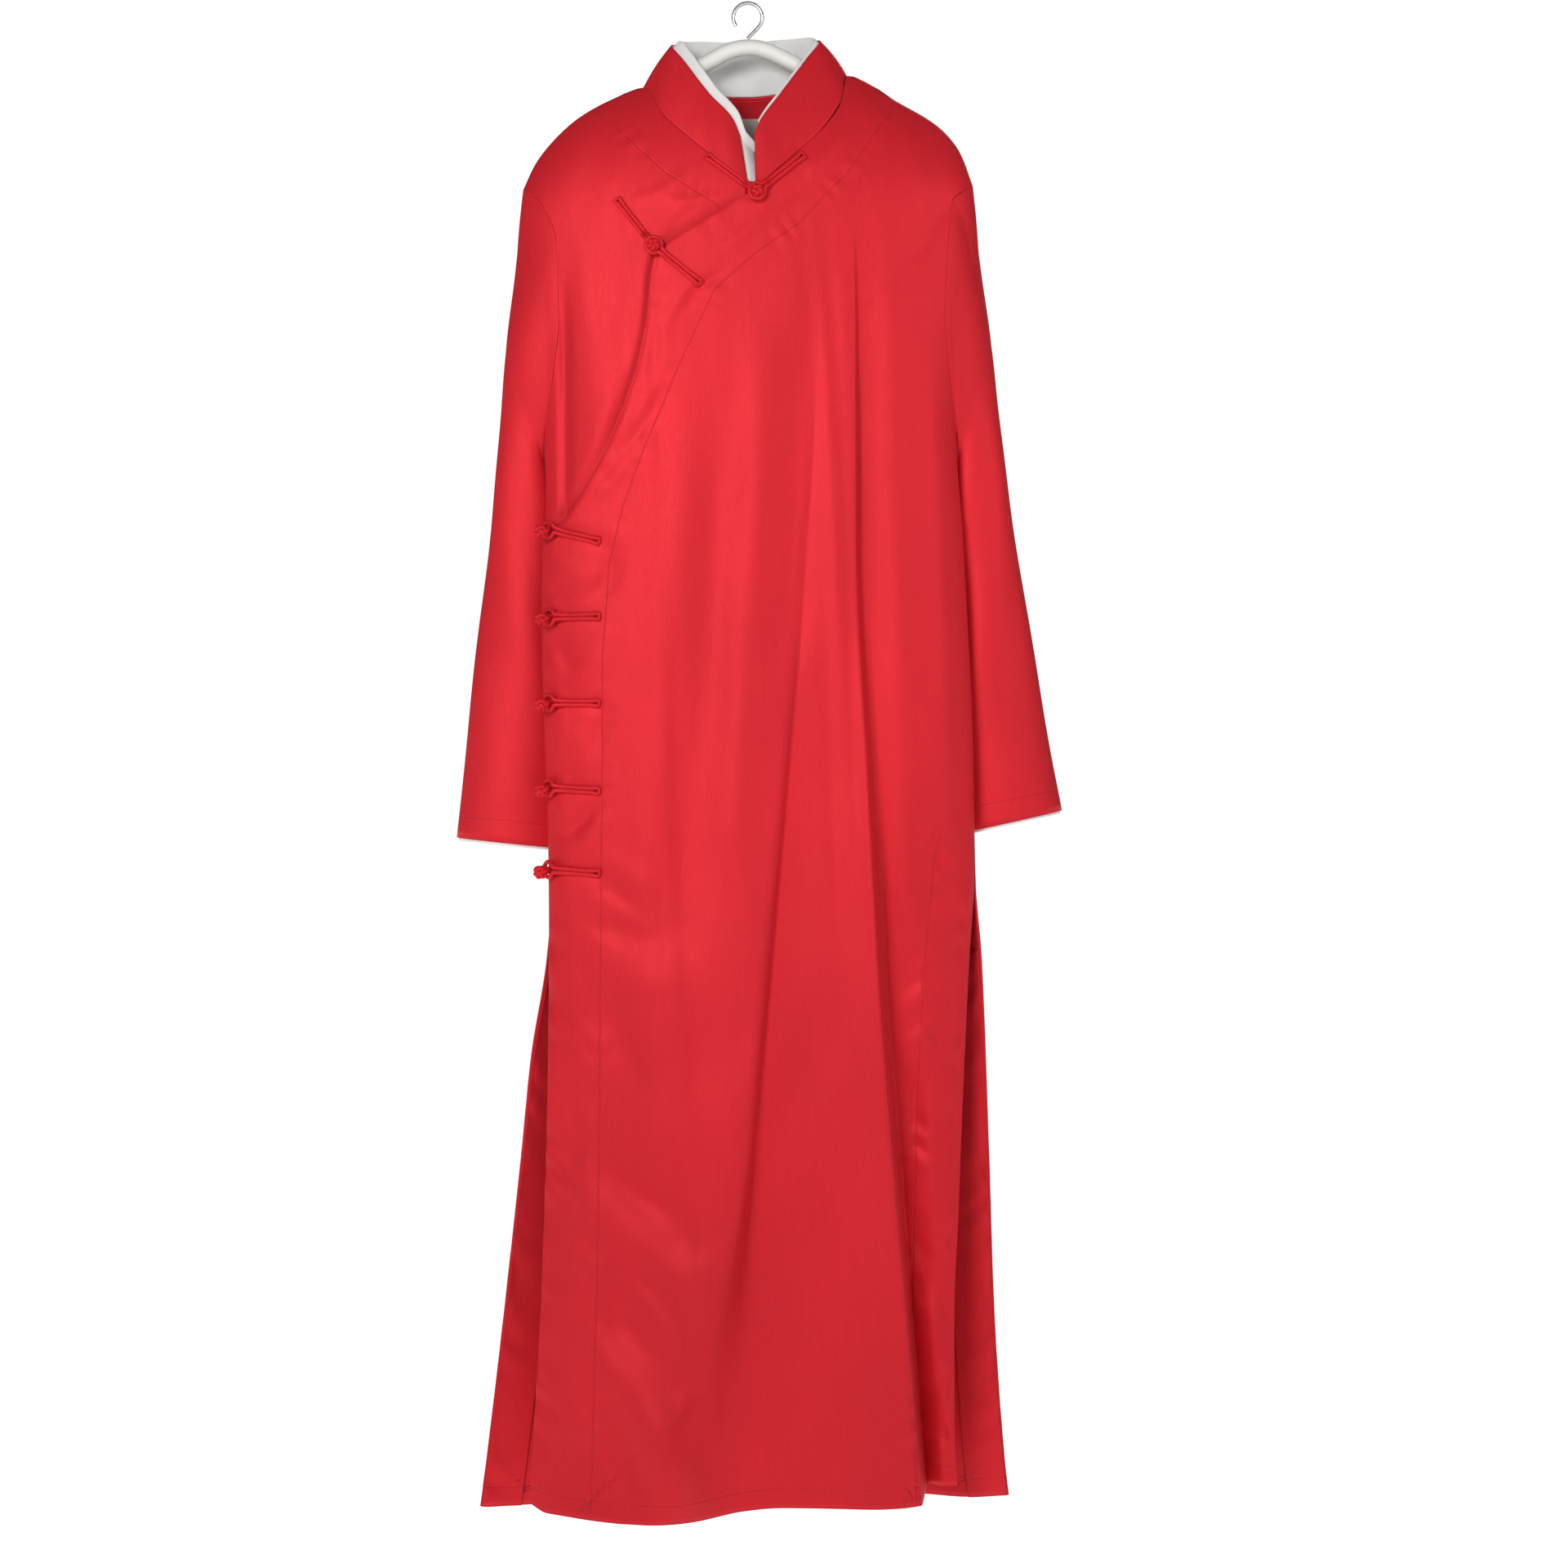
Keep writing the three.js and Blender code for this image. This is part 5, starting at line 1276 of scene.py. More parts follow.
def side_frog(name, z, end_z, dip, material):
    x = SIDE_RING_X
    foot = on_panel(FRONT_SIDE, x, z, CLOTH / 2)
    out = outwards(FRONT_SIDE, np.array(x, float), np.array(z, float))
    turn = math.radians(-SIDE_TURN)
    out = np.array(
        [
            out[0] * math.cos(turn) - out[1] * math.sin(turn),
            out[0] * math.sin(turn) + out[1] * math.cos(turn),
            out[2],
        ]
    )
    # The ring stands square to that direction, and the two strands run into it.
    centre = foot + out * RING_HEIGHT
    strap_end = np.array((SIDE_STRAP_END_X, end_z), float)
    length = math.dist((x, z), strap_end)
    first = unit(np.cross((0, 0, 1), out))
    first = first * np.sign(first[0])
    second = np.cross(out, first)
    second = second * np.sign(second[2])
    angle = RING_ANGLES[:, None]
    arc = centre + SIDE_RING * (np.cos(angle) * first + np.sin(angle) * second)
    s, w = np.array(
        [
            (length, 2.8), (length - 3, 2.4), (length - 7, 1.85), (length * 0.5, 1.85),
            (SIDE_RING + 7, 1.85), (SIDE_RING + 3, 1.9),
        ]
    ).T
    height = CLOTH / 2 + CORD_GAP + SIDE_LOOP_CORD + 1.4 * smooth(SIDE_RING + 8, SIDE_RING + 3, s)
    legs = [
        strap_place(FRONT_SIDE, (x, z), strap_end, s, w * sign, height) for sign in (1, -1)
    ]
    path = evenly(softened(np.concatenate([legs[0], arc, legs[1][::-1]]), 2))
    cord = tube(path, SIDE_LOOP_CORD, wrinkle=0.05, pitch=3.1, seed=1.0)
    tip = strap_tip(FRONT_SIDE, (x, z), strap_end)
    loop = gathered(f"{name}_frog_loop", [cord, tip], material)
    ball = foot + out * SIDE_KNOT_HEIGHT - np.array((0.4, 0, 2.2))
    edge = float(body["left"](z))
    above_cloth = CLOTH / 2 + TAIL_CORD + 0.6
    # The knot's tail runs from the ball under the ring and round the edge to the back.
    points = [
        ball - out * 3,
        foot + out * 5.5,
        on_panel(FRONT_SIDE, x - 2.2, z, above_cloth - dip / 4),
        on_panel(FRONT_SIDE, edge + 4, z, above_cloth - dip),
        np.array((edge - 2.6, float(front_y(edge + 1.0, float(z))) - 0.5, z)),
        np.array((edge - 2.4, -1.8, z)),
    ]
    tail = evenly(softened(points, 3))
    neck = mix(centre, ball - out * 2.5, np.linspace(0, 1, 5)[:, None])
    tail = tube(tail, TAIL_CORD, sides=10, wrinkle=0.05, pitch=2.8)
    parts = [tail, tube(neck, BALL_NECK, sides=16), *knot_ball(ball, out)]
    return loop, gathered(f"{name}_frog_knot", parts, material)


# ---- Materials ----

SATIN_LUSTRE = {
    "Metallic": 0.2,
    "Specular IOR Level": 0.3,
    "Specular Tint": (1.0, 0.5, 0.5, 1),
    "Sheen Weight": 0.05,
    "Sheen Roughness": 0.4,
    "Sheen Tint": (1.0, 0.45, 0.42, 1),
}


def new_group(name, inputs, outputs):
    group = bpy.data.node_groups.new(name, "ShaderNodeTree")
    for socket, kind, default in inputs:
        made = group.interface.new_socket(socket, in_out="INPUT", socket_type=kind)
        if default is not None:
            made.default_value = default
    for socket, kind in outputs:
        group.interface.new_socket(socket, in_out="OUTPUT", socket_type=kind)
    return group, group.nodes.new("NodeGroupInput"), group.nodes.new("NodeGroupOutput")


def math_node(nodes, links, operation, a, b=None, c=None):
    node = nodes.new("ShaderNodeMath")
    node.operation = operation
    for socket, value in zip(node.inputs, (a, b, c)):
        if value is None:
            continue
        if isinstance(value, (int, float)):
            socket.default_value = value
        else:
            links.new(value, socket)
    return node.outputs[0]


def plain_colour(nodes, links, shader, colour, value, dark, light):
    """The colour a little darker where the value is low and lighter where it's high."""
    (low, less), (high, more) = dark, light
    base = ramp(nodes, links, value, [(low, shaded(colour, less)), (high, shaded(colour, more))])
    links.new(base, shader.inputs["Base Color"])


def noise(nodes, links, vector, scale, detail=2.0, roughness=0.5):
    node = nodes.new("ShaderNodeTexNoise")
    node.inputs["Scale"].default_value = scale
    node.inputs["Detail"].default_value = detail
    node.inputs["Roughness"].default_value = roughness
    links.new(vector, node.inputs["Vector"])
    return node.outputs["Fac"]


def stretched(nodes, links, vector, scale):
    node = nodes.new("ShaderNodeMapping")
    node.inputs["Scale"].default_value = scale
    links.new(vector, node.inputs["Vector"])
    return node.outputs["Vector"]


def satin_surface():
    """Fine warp threads, faint slubs and the soft slack that never irons out."""
    group, source, sink = new_group(
        "satin surface",
        [
            ("Coordinates", "NodeSocketVector", None),
            ("Threads", "NodeSocketFloat", 0.25),
            ("Slack", "NodeSocketFloat", 1.0),
        ],
        [("Tone", "NodeSocketFloat"), ("Gloss", "NodeSocketFloat"), ("Height", "NodeSocketFloat")],
    )
    nodes, links = group.nodes, group.links
    where = source.outputs["Coordinates"]
    threads = noise(nodes, links, stretched(nodes, links, where, (2600, 2600, 260)), 1.0, 1.0)
    slubs = noise(nodes, links, stretched(nodes, links, where, (420, 420, 26)), 1.0, 2.0)
    slack = noise(nodes, links, stretched(nodes, links, where, (34, 34, 11)), 1.0, 3.0, 0.55)
    tone = noise(nodes, links, stretched(nodes, links, where, (7, 7, 4)), 1.0, 2.0)
    mixed = math_node(nodes, links, "MULTIPLY_ADD", slubs, 0.35, tone)
    links.new(math_node(nodes, links, "SUBTRACT", mixed, 0.175), sink.inputs["Tone"])
    links.new(slubs, sink.inputs["Gloss"])
    fine = math_node(nodes, links, "MULTIPLY", threads, source.outputs["Threads"])
    fine = math_node(nodes, links, "MULTIPLY_ADD", slubs, 0.12, fine)
    loose = math_node(nodes, links, "MULTIPLY", slack, source.outputs["Slack"])
    links.new(math_node(nodes, links, "ADD", fine, loose), sink.inputs["Height"])
    return group


def stitched_line():
    """A row of stitches where the seam map's V is 0: a sunk line and short threads in it."""
    group, source, sink = new_group(
        "stitched line",
        [
            ("Seam", "NodeSocketVector", None),
            ("Pitch", "NodeSocketFloat", 0.003),
            ("Half width", "NodeSocketFloat", 0.0011),
        ],
        [("Thread", "NodeSocketFloat"), ("Height", "NodeSocketFloat")],
    )
    nodes, links = group.nodes, group.links
    split = nodes.new("ShaderNodeSeparateXYZ")
    links.new(source.outputs["Seam"], split.inputs[0])
    away = math_node(nodes, links, "ABSOLUTE", split.outputs["Y"])
    near = math_node(nodes, links, "DIVIDE", away, source.outputs["Half width"])
    sunk = math_node(nodes, links, "SUBTRACT", 1.0, near)
    sunk = math_node(nodes, links, "MAXIMUM", sunk, 0.0)
    step = math_node(nodes, links, "DIVIDE", split.outputs["X"], source.outputs["Pitch"])
    phase = math_node(nodes, links, "FRACT", step)
    dash = math_node(nodes, links, "LESS_THAN", phase, 0.68)
    links.new(math_node(nodes, links, "MULTIPLY", sunk, dash), sink.inputs["Thread"])
    dip = math_node(nodes, links, "MULTIPLY_ADD", dash, 0.45, -1.0)
    links.new(math_node(nodes, links, "MULTIPLY", sunk, dip), sink.inputs["Height"])
    return group


def new_material(name):
    material = bpy.data.materials.new(name)
    material.use_nodes = True
    nodes = material.node_tree.nodes
    where = nodes.new("ShaderNodeTexCoord").outputs["Object"]
    return material, nodes, material.node_tree.links, nodes["Principled BSDF"], where


def group_node(nodes, group):
    node = nodes.new("ShaderNodeGroup")
    node.node_tree = group
    return node


def ramp(nodes, links, value, stops):
    node = nodes.new("ShaderNodeValToRGB")
    while len(node.color_ramp.elements) < len(stops):
        node.color_ramp.elements.new(0.5)
    for element, (place, colour) in zip(node.color_ramp.elements, stops):
        element.position = place
        element.color = (*colour, 1)
    links.new(value, node.inputs["Fac"])
    return node.outputs["Color"]


def shaded(colour, factor):
    return tuple(min(1.0, c * factor) for c in colour[:3])


def bump(nodes, links, shader, height, distance):
    node = nodes.new("ShaderNodeBump")
    node.inputs["Strength"].default_value = 1.0
    node.inputs["Distance"].default_value = distance
    links.new(height, node.inputs["Height"])
    links.new(node.outputs["Normal"], shader.inputs["Normal"])


def between(nodes, links, value, low, high, socket):
    """The value, from 0 to 1, sets the socket between low and high."""
    node = nodes.new("ShaderNodeMapRange")
    node.inputs["To Min"].default_value = low
    node.inputs["To Max"].default_value = high
    links.new(value, node.inputs["Value"])
    links.new(node.outputs["Result"], socket)


def satin_material(name, colour, groups, seams=True, slack=1.0, roughness=0.47):
    material, nodes, links, shader, where = new_material(name)
    surface = group_node(nodes, groups["satin"])
    links.new(where, surface.inputs["Coordinates"])
    surface.inputs["Slack"].default_value = slack
    tones = [(0.3, shaded(colour, 0.93)), (0.7, shaded(colour, 1.05))]
    tone = ramp(nodes, links, surface.outputs["Tone"], tones)
    height = surface.outputs["Height"]
    if seams:
        line = group_node(nodes, groups["stitches"])
        seam_map = nodes.new("ShaderNodeUVMap")
        seam_map.uv_map = "seam"
        links.new(seam_map.outputs["UV"], line.inputs["Seam"])
        darker = nodes.new("ShaderNodeMix")
        darker.data_type = "RGBA"
        thread = math_node(nodes, links, "MULTIPLY", line.outputs["Thread"], 0.3)
        links.new(thread, darker.inputs["Factor"])
        links.new(tone, darker.inputs["A"])
        darker.inputs["B"].default_value = (*shaded(colour, 0.45), 1)
        tone = darker.outputs["Result"]
        height = math_node(nodes, links, "MULTIPLY_ADD", line.outputs["Height"], 0.6, height)
    links.new(tone, shader.inputs["Base Color"])
    gloss = surface.outputs["Gloss"]
    between(nodes, links, gloss, roughness - 0.05, roughness + 0.07, shader.inputs["Roughness"])
    for socket, value in SATIN_LUSTRE.items():
        shader.inputs[socket].default_value = value
    bump(nodes, links, shader, height, 0.0006)
    return material


def cotton_material(name, colour, roughness=0.85, scale=1.0):
    """A plain weave: two sets of threads that cross."""
    material, nodes, links, shader, where = new_material(name)
    fine, coarse = 1500 * scale, 90
    warp = noise(nodes, links, stretched(nodes, links, where, (fine, fine, coarse)), 1, 1)
    weft = noise(nodes, links, stretched(nodes, links, where, (coarse, coarse, fine)), 1, 1)
    soft = noise(nodes, links, where, 45, 3.0)
    weave = math_node(nodes, links, "ADD", warp, weft)
    tone = math_node(nodes, links, "MULTIPLY_ADD", weave, 0.2, soft)
    plain_colour(nodes, links, shader, colour, tone, (0.45, 0.94), (0.85, 1.02))
    shader.inputs["Roughness"].default_value = roughness
    shader.inputs["Sheen Weight"].default_value = 0.15
    height = math_node(nodes, links, "MULTIPLY_ADD", soft, 1.6, weave)
    bump(nodes, links, shader, height, 0.00025)
    return material


def plastic_material(name, colour):
    material, nodes, links, shader, where = new_material(name)
    grain = noise(nodes, links, where, 900, 2.0)
    cloud = noise(nodes, links, where, 30, 2.0)
    plain_colour(nodes, links, shader, colour, cloud, (0.35, 0.97), (0.7, 1.0))
    between(nodes, links, cloud, 0.36, 0.5, shader.inputs["Roughness"])
    bump(nodes, links, shader, grain, 0.00008)
    return material


def steel_material(name, colour):
    material, nodes, links, shader, where = new_material(name)
    drawn = noise(nodes, links, stretched(nodes, links, where, (2200, 2200, 120)), 1.0, 2.0)
    plain_colour(nodes, links, shader, colour, drawn, (0.3, 0.9), (0.7, 1.02))
    between(nodes, links, drawn, 0.22, 0.38, shader.inputs["Roughness"])
    shader.inputs["Metallic"].default_value = 1.0
    bump(nodes, links, shader, drawn, 0.00004)
    return material


GROUPS = {}
MATERIALS = {}


def linear(colour):
    """A colour given as sRGB, as the shader wants it."""
    return tuple(
        c / 12.92 if c <= 0.04045 else ((c + 0.055) / 1.055) ** 2.4 for c in colour[:3]
    )


def material_for(kind):
    """Each finish is made once, when the first piece asks for it."""
    if kind in MATERIALS:
        return MATERIALS[kind]
    colours = bpy.context.scene.robe_colours
    if not GROUPS:
        GROUPS["satin"] = satin_surface()
        GROUPS["stitches"] = stitched_line()
    makers = {
        "satin": lambda: satin_material("red satin", linear(colours.satin), GROUPS),
        "collar satin": lambda: satin_material(
            "collar satin", linear(colours.satin), GROUPS, seams=False, slack=0.5
        ),
        "trim": lambda: satin_material(
            "cord satin", linear(colours.trim), GROUPS, seams=False, slack=0.3, roughness=0.44
        ),
        "cotton": lambda: cotton_material("white cotton", linear(colours.cotton)),
        "tape": lambda: cotton_material("label tape", linear(colours.tape), 0.9, 0.6),
        "plastic": lambda: plastic_material("hanger plastic", linear(colours.plastic)),
        "steel": lambda: steel_material("hook wire", linear(colours.steel)),
    }
    MATERIALS[kind] = makers[kind]()
    return MATERIALS[kind]


# ---- Panels: where the stitched lines are, for the material's seam map ----


def nearest_seam(pairs):
    """From several (along, away) pairs, the one that is nearest at each point."""
    along, away = pairs[0]
    for a, d in pairs[1:]:
        closer = np.abs(d) < np.abs(away)
        along, away = np.where(closer, a, along), np.where(closer, d, away)
    return np.stack([along, away], axis=-1)


def front_seams(x, z):
    off, along = beside(x, z, FRONT_FACING_LINE)
    slit_off, slit_along = beside(x, z, SLIT_FACING_LINE)
    slit_off = np.where(z > -790, 99, slit_off)
    hem = z - front_hem_z(x) - HEM_DEPTH
    return nearest_seam([(along, off), (slit_along, slit_off), (x, hem)])


def inner_seams(x, z):
    off, along = beside(x, z, INNER_FACING_LINE)
    return nearest_seam([(along, off)])


def back_seams(x, z):
    hem = z - back_hem_z(x) - HEM_DEPTH
    left = x - flare["left"](z) - FACING_WIDTH
    right = flare["right"](z) - x - FACING_WIDTH
    left, right = (np.where(z > SLIT_Z, 99, d) for d in (left, right))
    return nearest_seam([(x, hem), (z, left), (z, right)])


def satin_shell(name, grid, kind="satin", **maps):
    """A grid's shell, as thick as the cloth."""
    return shell(name, moved(grid, CLOTH / 2), moved(grid, -CLOTH / 2), material_for(kind), **maps)


def panel(name, node, grid, seams):
    p = grid["points"]
    obj = satin_shell(name, grid, uv=p[..., [0, 2]], seam=seams(p[..., 0], p[..., 2]))
    return placed(obj, node)


# ---- Settings ----


def length_property(name, description, default, low, high):
    limits = {"default": default, "min": low, "max": high}
    return FloatProperty(
        name=name, description=description, unit="LENGTH", subtype="DISTANCE", **limits
    )


def colour_property(name, description, default):
    limits = {"default": default, "min": 0, "max": 1}
    return FloatVectorProperty(
        name=name, description=description, size=3, subtype="COLOR_GAMMA", **limits
    )


def power_property(name, description, default):
    return FloatProperty(name=name, description=description, default=default, min=0, unit="POWER")


def strength_property(name, description, default):
    return FloatProperty(name=name, description=description, default=default, min=0)


class RobeSizes(bpy.types.PropertyGroup):
    hanger_thickness: length_property(
        "Hanger thickness", "Across the hanger's arms", 0.0152, 0.006, 0.02
    )
    hook_wire: length_property("Hook wire", "Radius of the hook's wire", 0.0017, 0.001, 0.003)
    label_width: length_property(
        "Label width", "Width of the plain label in the neck", 0.058, 0.02, 0.08
    )
    label_height: length_property(
        "Label height", "Height of the plain label in the neck", 0.042, 0.02, 0.06
    )


class RobeColours(bpy.types.PropertyGroup):
    satin: colour_property("Satin", "The robe's satin", (0.865, 0.15, 0.195))
    trim: colour_property("Cord", "The cords of the frog fastenings", (0.855, 0.14, 0.185))
    cotton: colour_property("Lining", "The collar's and cuffs' lining", (0.95, 0.945, 0.935))
    tape: colour_property("Label", "The plain label", (0.84, 0.8, 0.74))
    plastic: colour_property("Hanger", "The hanger's arms", (0.95, 0.945, 0.925))
    steel: colour_property("Hook", "The hook's wire", (0.9, 0.9, 0.9))


class RobeStage(bpy.types.PropertyGroup):
    key_power: power_property("Key light", "Power of the large front light", 6.5)
    fill_power: power_property("Fill light", "Power of the front and side lights", 4)
    back_power: power_property("Back light", "Power of the light behind the robe", 5)
    floor_glow: strength_property("Floor", "How much the pale floor glows by itself", 1)
    sky: strength_property("Surroundings", "Strength of the pale surroundings", 0.06)


# ---- Operators ----


class RobePiece:
    """What the operators share: each can be undone."""

    bl_options = {"REGISTER", "UNDO"}


class ROBE_OT_panels(RobePiece, bpy.types.Operator):
    """Front, inner panel and back, as thin satin shells"""

    bl_idname = "robe.panels"
    bl_label = "Satin panels"

    def execute(self, context):
        for name, node, grid, seams, flat, area in (
            ("robe_front", "front_panel", front, front_seams, (0.46, 1.37), 0.55),
            ("robe_inner_panel", "inner_panel", inner, inner_seams, (0.24, 0.78), 0.125),
            ("robe_back", "back_panel", back, back_seams, (0.55, 1.38), 0.64),
        ):
            obj = panel(name, node, grid, seams)
        return {"FINISHED"}


class ROBE_OT_sleeves(RobePiece, bpy.types.Operator):
    """Both sleeves, sewn to the armholes"""

    bl_idname = "robe.sleeves"
    bl_label = "Sleeves"

    def execute(self, context):
        for name, grid, front_piece in (
            ("right", right_sleeve, "robe_inner_panel"),
            ("left", left_sleeve, "robe_front"),
        ):
            p = grid["points"]
            ring_step = np.linalg.norm(np.roll(p, -1, axis=1) - p, axis=2)
            around = np.cumsum(ring_step, axis=1) - ring_step
            fall = np.linalg.norm(np.diff(p, axis=0), axis=2)
            down = np.concatenate([np.zeros((1, p.shape[1])), np.cumsum(fall, axis=0)])
            away = down[-1] - down - CUFF_HEM
            obj = satin_shell(
                f"robe_{name}_sleeve",
                grid,
                ring=True,
                uv=np.stack([around, down], axis=-1),
                seam=np.stack([around, away], axis=-1),
            )
            placed(obj, f"{name}_sleeve")
        return {"FINISHED"}


class ROBE_OT_cuffs(RobePiece, bpy.types.Operator):
    """The white cuff linings"""

    bl_idname = "robe.cuffs"
    bl_label = "Cuff linings"

    def execute(self, context):
        for name, grid in (("right", right_sleeve), ("left", left_sleeve)):
            end = part_of(grid, slice(-CUFF_ROWS, None), slice(None))
            gap = CLOTH / 2 + SEAM

            def layer(distance):
                p = moved(end, distance)
                drops = np.linspace(0, CUFF_SHOWS, CUFF_END_ROWS + 1)[1:, None, None]
                below = p[-1][None] - drops * np.array((0, 0, 1.0))
                return np.concatenate([p, below])

            cotton = material_for("cotton")
            obj = shell(f"robe_{name}_cuff", layer(-gap), layer(-gap - LINING), cotton, ring=True)
            placed(obj, f"{name}_cuff_lining")
        return {"FINISHED"}


class ROBE_OT_collar(RobePiece, bpy.types.Operator):
    """The stand collar and the white lining inside it"""

    bl_idname = "robe.collar"
    bl_label = "Stand collar"

    def execute(self, context):
        p = collar["points"]
        around = np.broadcast_to(collar["places"] * PLACE_LENGTH, p.shape[:2])
        around_and_up = np.stack([around, p[..., 2]], axis=-1)
        obj = satin_shell("robe_collar", collar, "collar satin", uv=around_and_up)
        placed(obj, "collar")
        outer, inside = lining_layers(collar)
        lining = shell("robe_collar_lining", outer, inside, material_for("cotton"))
        placed(lining, "collar_lining")
        return {"FINISHED"}


class ROBE_OT_facings(RobePiece, bpy.types.Operator):
    """The facings inside the slits of the back"""

    bl_idname = "robe.facings"
    bl_label = "Slit facings"

    def execute(self, context):
        step = FINE["back"][1] * FACING_COLUMNS + 1
        start = back["slit"] + FINE["back"][0]
        for name, cols in (("right", slice(0, step)), ("left", slice(-step, None))):
            strip = part_of(back, slice(start, None), cols)
            gap = CLOTH / 2 + SEAM + FACING_LOOSE

            def layer(distance):
                p = moved(strip, distance).copy()
                edge, within = (0, 1) if name == "right" else (-1, -2)
                p[:, edge] = mix(p[:, edge], p[:, within], 0.5)
                return p

            x, z = strip["points"][..., 0], strip["points"][..., 2]
            obj = shell(
                f"robe_{name}_facing",
                layer(-gap),
                layer(-gap - FACING_THICK),
                material_for("satin"),
                uv=strip["points"][..., [0, 2]],
                seam=back_seams(x, z),
            )
            placed(obj, f"{name}_slit_facing")
        return {"FINISHED"}


class ROBE_OT_label(RobePiece, bpy.types.Operator):
    """The plain label inside the back of the neck"""

    bl_idname = "robe.label"
    bl_label = "Neck label"

    def execute(self, context):
        sizes = context.scene.robe_sizes
        u, v = np.meshgrid(np.linspace(-0.5, 0.5, LABEL_GRID[0]), np.linspace(0, 1, LABEL_GRID[1]))
        x = LABEL_PLACE[0] + u * sizes.label_width / MM
        z = LABEL_PLACE[1] - v * sizes.label_height / MM
        y = back_y(x, z)
        out = -outwards((back_shape,), x, z)
        p = np.stack([x, y, z], axis=-1)
        gap = CLOTH / 2 + SEAM + LABEL_LOOSE
        curl = 0.25 * np.sin(5 * u + 1.0) * np.sin(np.pi * v)
        near, far = (p - out * (gap + curl + t)[..., None] for t in (0, LABEL_THICK))
        obj = shell("robe_label", near, far, material_for("tape"))
        placed(obj, "neck_label")
        return {"FINISHED"}


def frogs(rows, maker):
    for name, *places in rows:
        loop, knot = maker(name, *places, material_for("trim"))
        placed(loop, f"frog_{name}_loop")
        placed(knot, f"frog_{name}_knot")


class ROBE_OT_front_frogs(RobePiece, bpy.types.Operator):
    """The frog fastenings at the collar and the chest"""

    bl_idname = "robe.front_frogs"
    bl_label = "Front frogs"

    def execute(self, context):
        frogs(FRONT_FROGS, front_frog)
        return {"FINISHED"}


class ROBE_OT_side_frogs(RobePiece, bpy.types.Operator):
    """The five frog fastenings down the side"""

    bl_idname = "robe.side_frogs"
    bl_label = "Side frogs"

    def execute(self, context):
        frogs(SIDE_FROGS, side_frog)
        return {"FINISHED"}


def bar_from_curve(name, points, radius, taper, material, resolution=10):
    """A round bar: a curve given its thickness, then made a mesh with its place in it."""
    bpy.ops.object.select_all(action="DESELECT")
    bpy.ops.curve.primitive_bezier_curve_add(location=(0, 0, 0))
    obj = bpy.context.object
    obj.name = name
    curve = obj.data
    spline = curve.splines[0]
    spline.bezier_points.add(len(points) - len(spline.bezier_points))
    for place, (point, size) in zip(spline.bezier_points, zip(points, taper)):
        place.co = [c * MM for c in point]
        place.handle_left_type = place.handle_right_type = "AUTO"
        place.radius = size
    curve.dimensions = "3D"
    curve.resolution_u = curve.render_resolution_u = 8
    curve.bevel_depth = radius
    curve.bevel_resolution = resolution
    curve.use_fill_caps = True
    bpy.ops.object.convert(target="MESH")
    obj = bpy.context.object
    bpy.ops.object.shade_smooth_by_angle(angle=math.radians(50))
    obj.data.materials.clear()
    obj.data.materials.append(material)
    return obj


class ROBE_OT_hanger(RobePiece, bpy.types.Operator):
    """The hanger's arms and its hook"""

    bl_idname = "robe.hanger"
    bl_label = "Hanger"

    def execute(self, context):
        sizes = context.scene.robe_sizes
        points = [(x, 0, z) for x, z in HANGER_LINE]
        taper = [0.55, 0.9] + [1] * (len(points) - 4) + [0.9, 0.55]
        arms = bar_from_curve(
            "hanger_bar", points, sizes.hanger_thickness / 2, taper, material_for("plastic")
        )
        placed(arms, "hanger_arms")
        points = list(HOOK_STEM)
        for a in np.radians(HOOK_DEGREES):
            height = HOOK_TOP - HOOK_BEND + HOOK_BEND * math.sin(a)
            points.append((HOOK_BEND * math.cos(a), 0, height))
        hook = bar_from_curve(
            "hanger_wire", points, sizes.hook_wire, [1] * len(points), material_for("steel"), 6
        )
        placed(hook, "hanger_hook")
        return {"FINISHED"}


def floor_material(strength):
    """Pale, and glowing a little, least in front of the robe, so that it stays pale all round."""
    material, nodes, links, shader, where = new_material("studio floor")
    cloud = noise(nodes, links, where, 1.5, 2.0)
    base = ramp(nodes, links, cloud, [(0.3, (0.88, 0.88, 0.88)), (0.7, (0.9, 0.9, 0.9))])
    links.new(base, shader.inputs["Base Color"])
    shader.inputs["Roughness"].default_value = 0.9
    split = nodes.new("ShaderNodeSeparateXYZ")
    links.new(where, split.inputs[0])
    away = nodes.new("ShaderNodeVectorMath")
    away.operation = "LENGTH"
    links.new(where, away.inputs[0])
    glow = []
    for value, near, far in ((away.outputs["Value"], 1.2, 4.5), (split.outputs["Y"], -1.6, 1.2)):
        fade = nodes.new("ShaderNodeMapRange")
        fade.interpolation_type = "SMOOTHSTEP"
        for socket, number in zip(fade.inputs[1:5], (near, far, *FLOOR_GLOW)):
            socket.default_value = number
        links.new(value, fade.inputs["Value"])
        glow.append(fade.outputs["Result"])
    links.new(math_node(nodes, links, "MAXIMUM", *glow), shader.inputs["Emission Color"])
    shader.inputs["Emission Strength"].default_value = strength
    return material


def area_light(name, place, aim, size, spread, power):
    """A rectangular light that stands at the place and points to the aim."""
    bpy.ops.object.light_add(type="AREA", location=place)
    light = bpy.context.object
    light.name = name
    light.data.shape = "RECTANGLE"
    light.data.size, light.data.size_y = size
    light.data.energy = power
    light.data.spread = math.radians(spread)
    direction = np.array(aim, float) - np.array(place, float)
    yaw = math.atan2(direction[0], -direction[1])
    pitch = math.atan2(math.hypot(*direction[:2]), -direction[2])
    light.rotation_euler = (pitch, 0, yaw + math.pi)


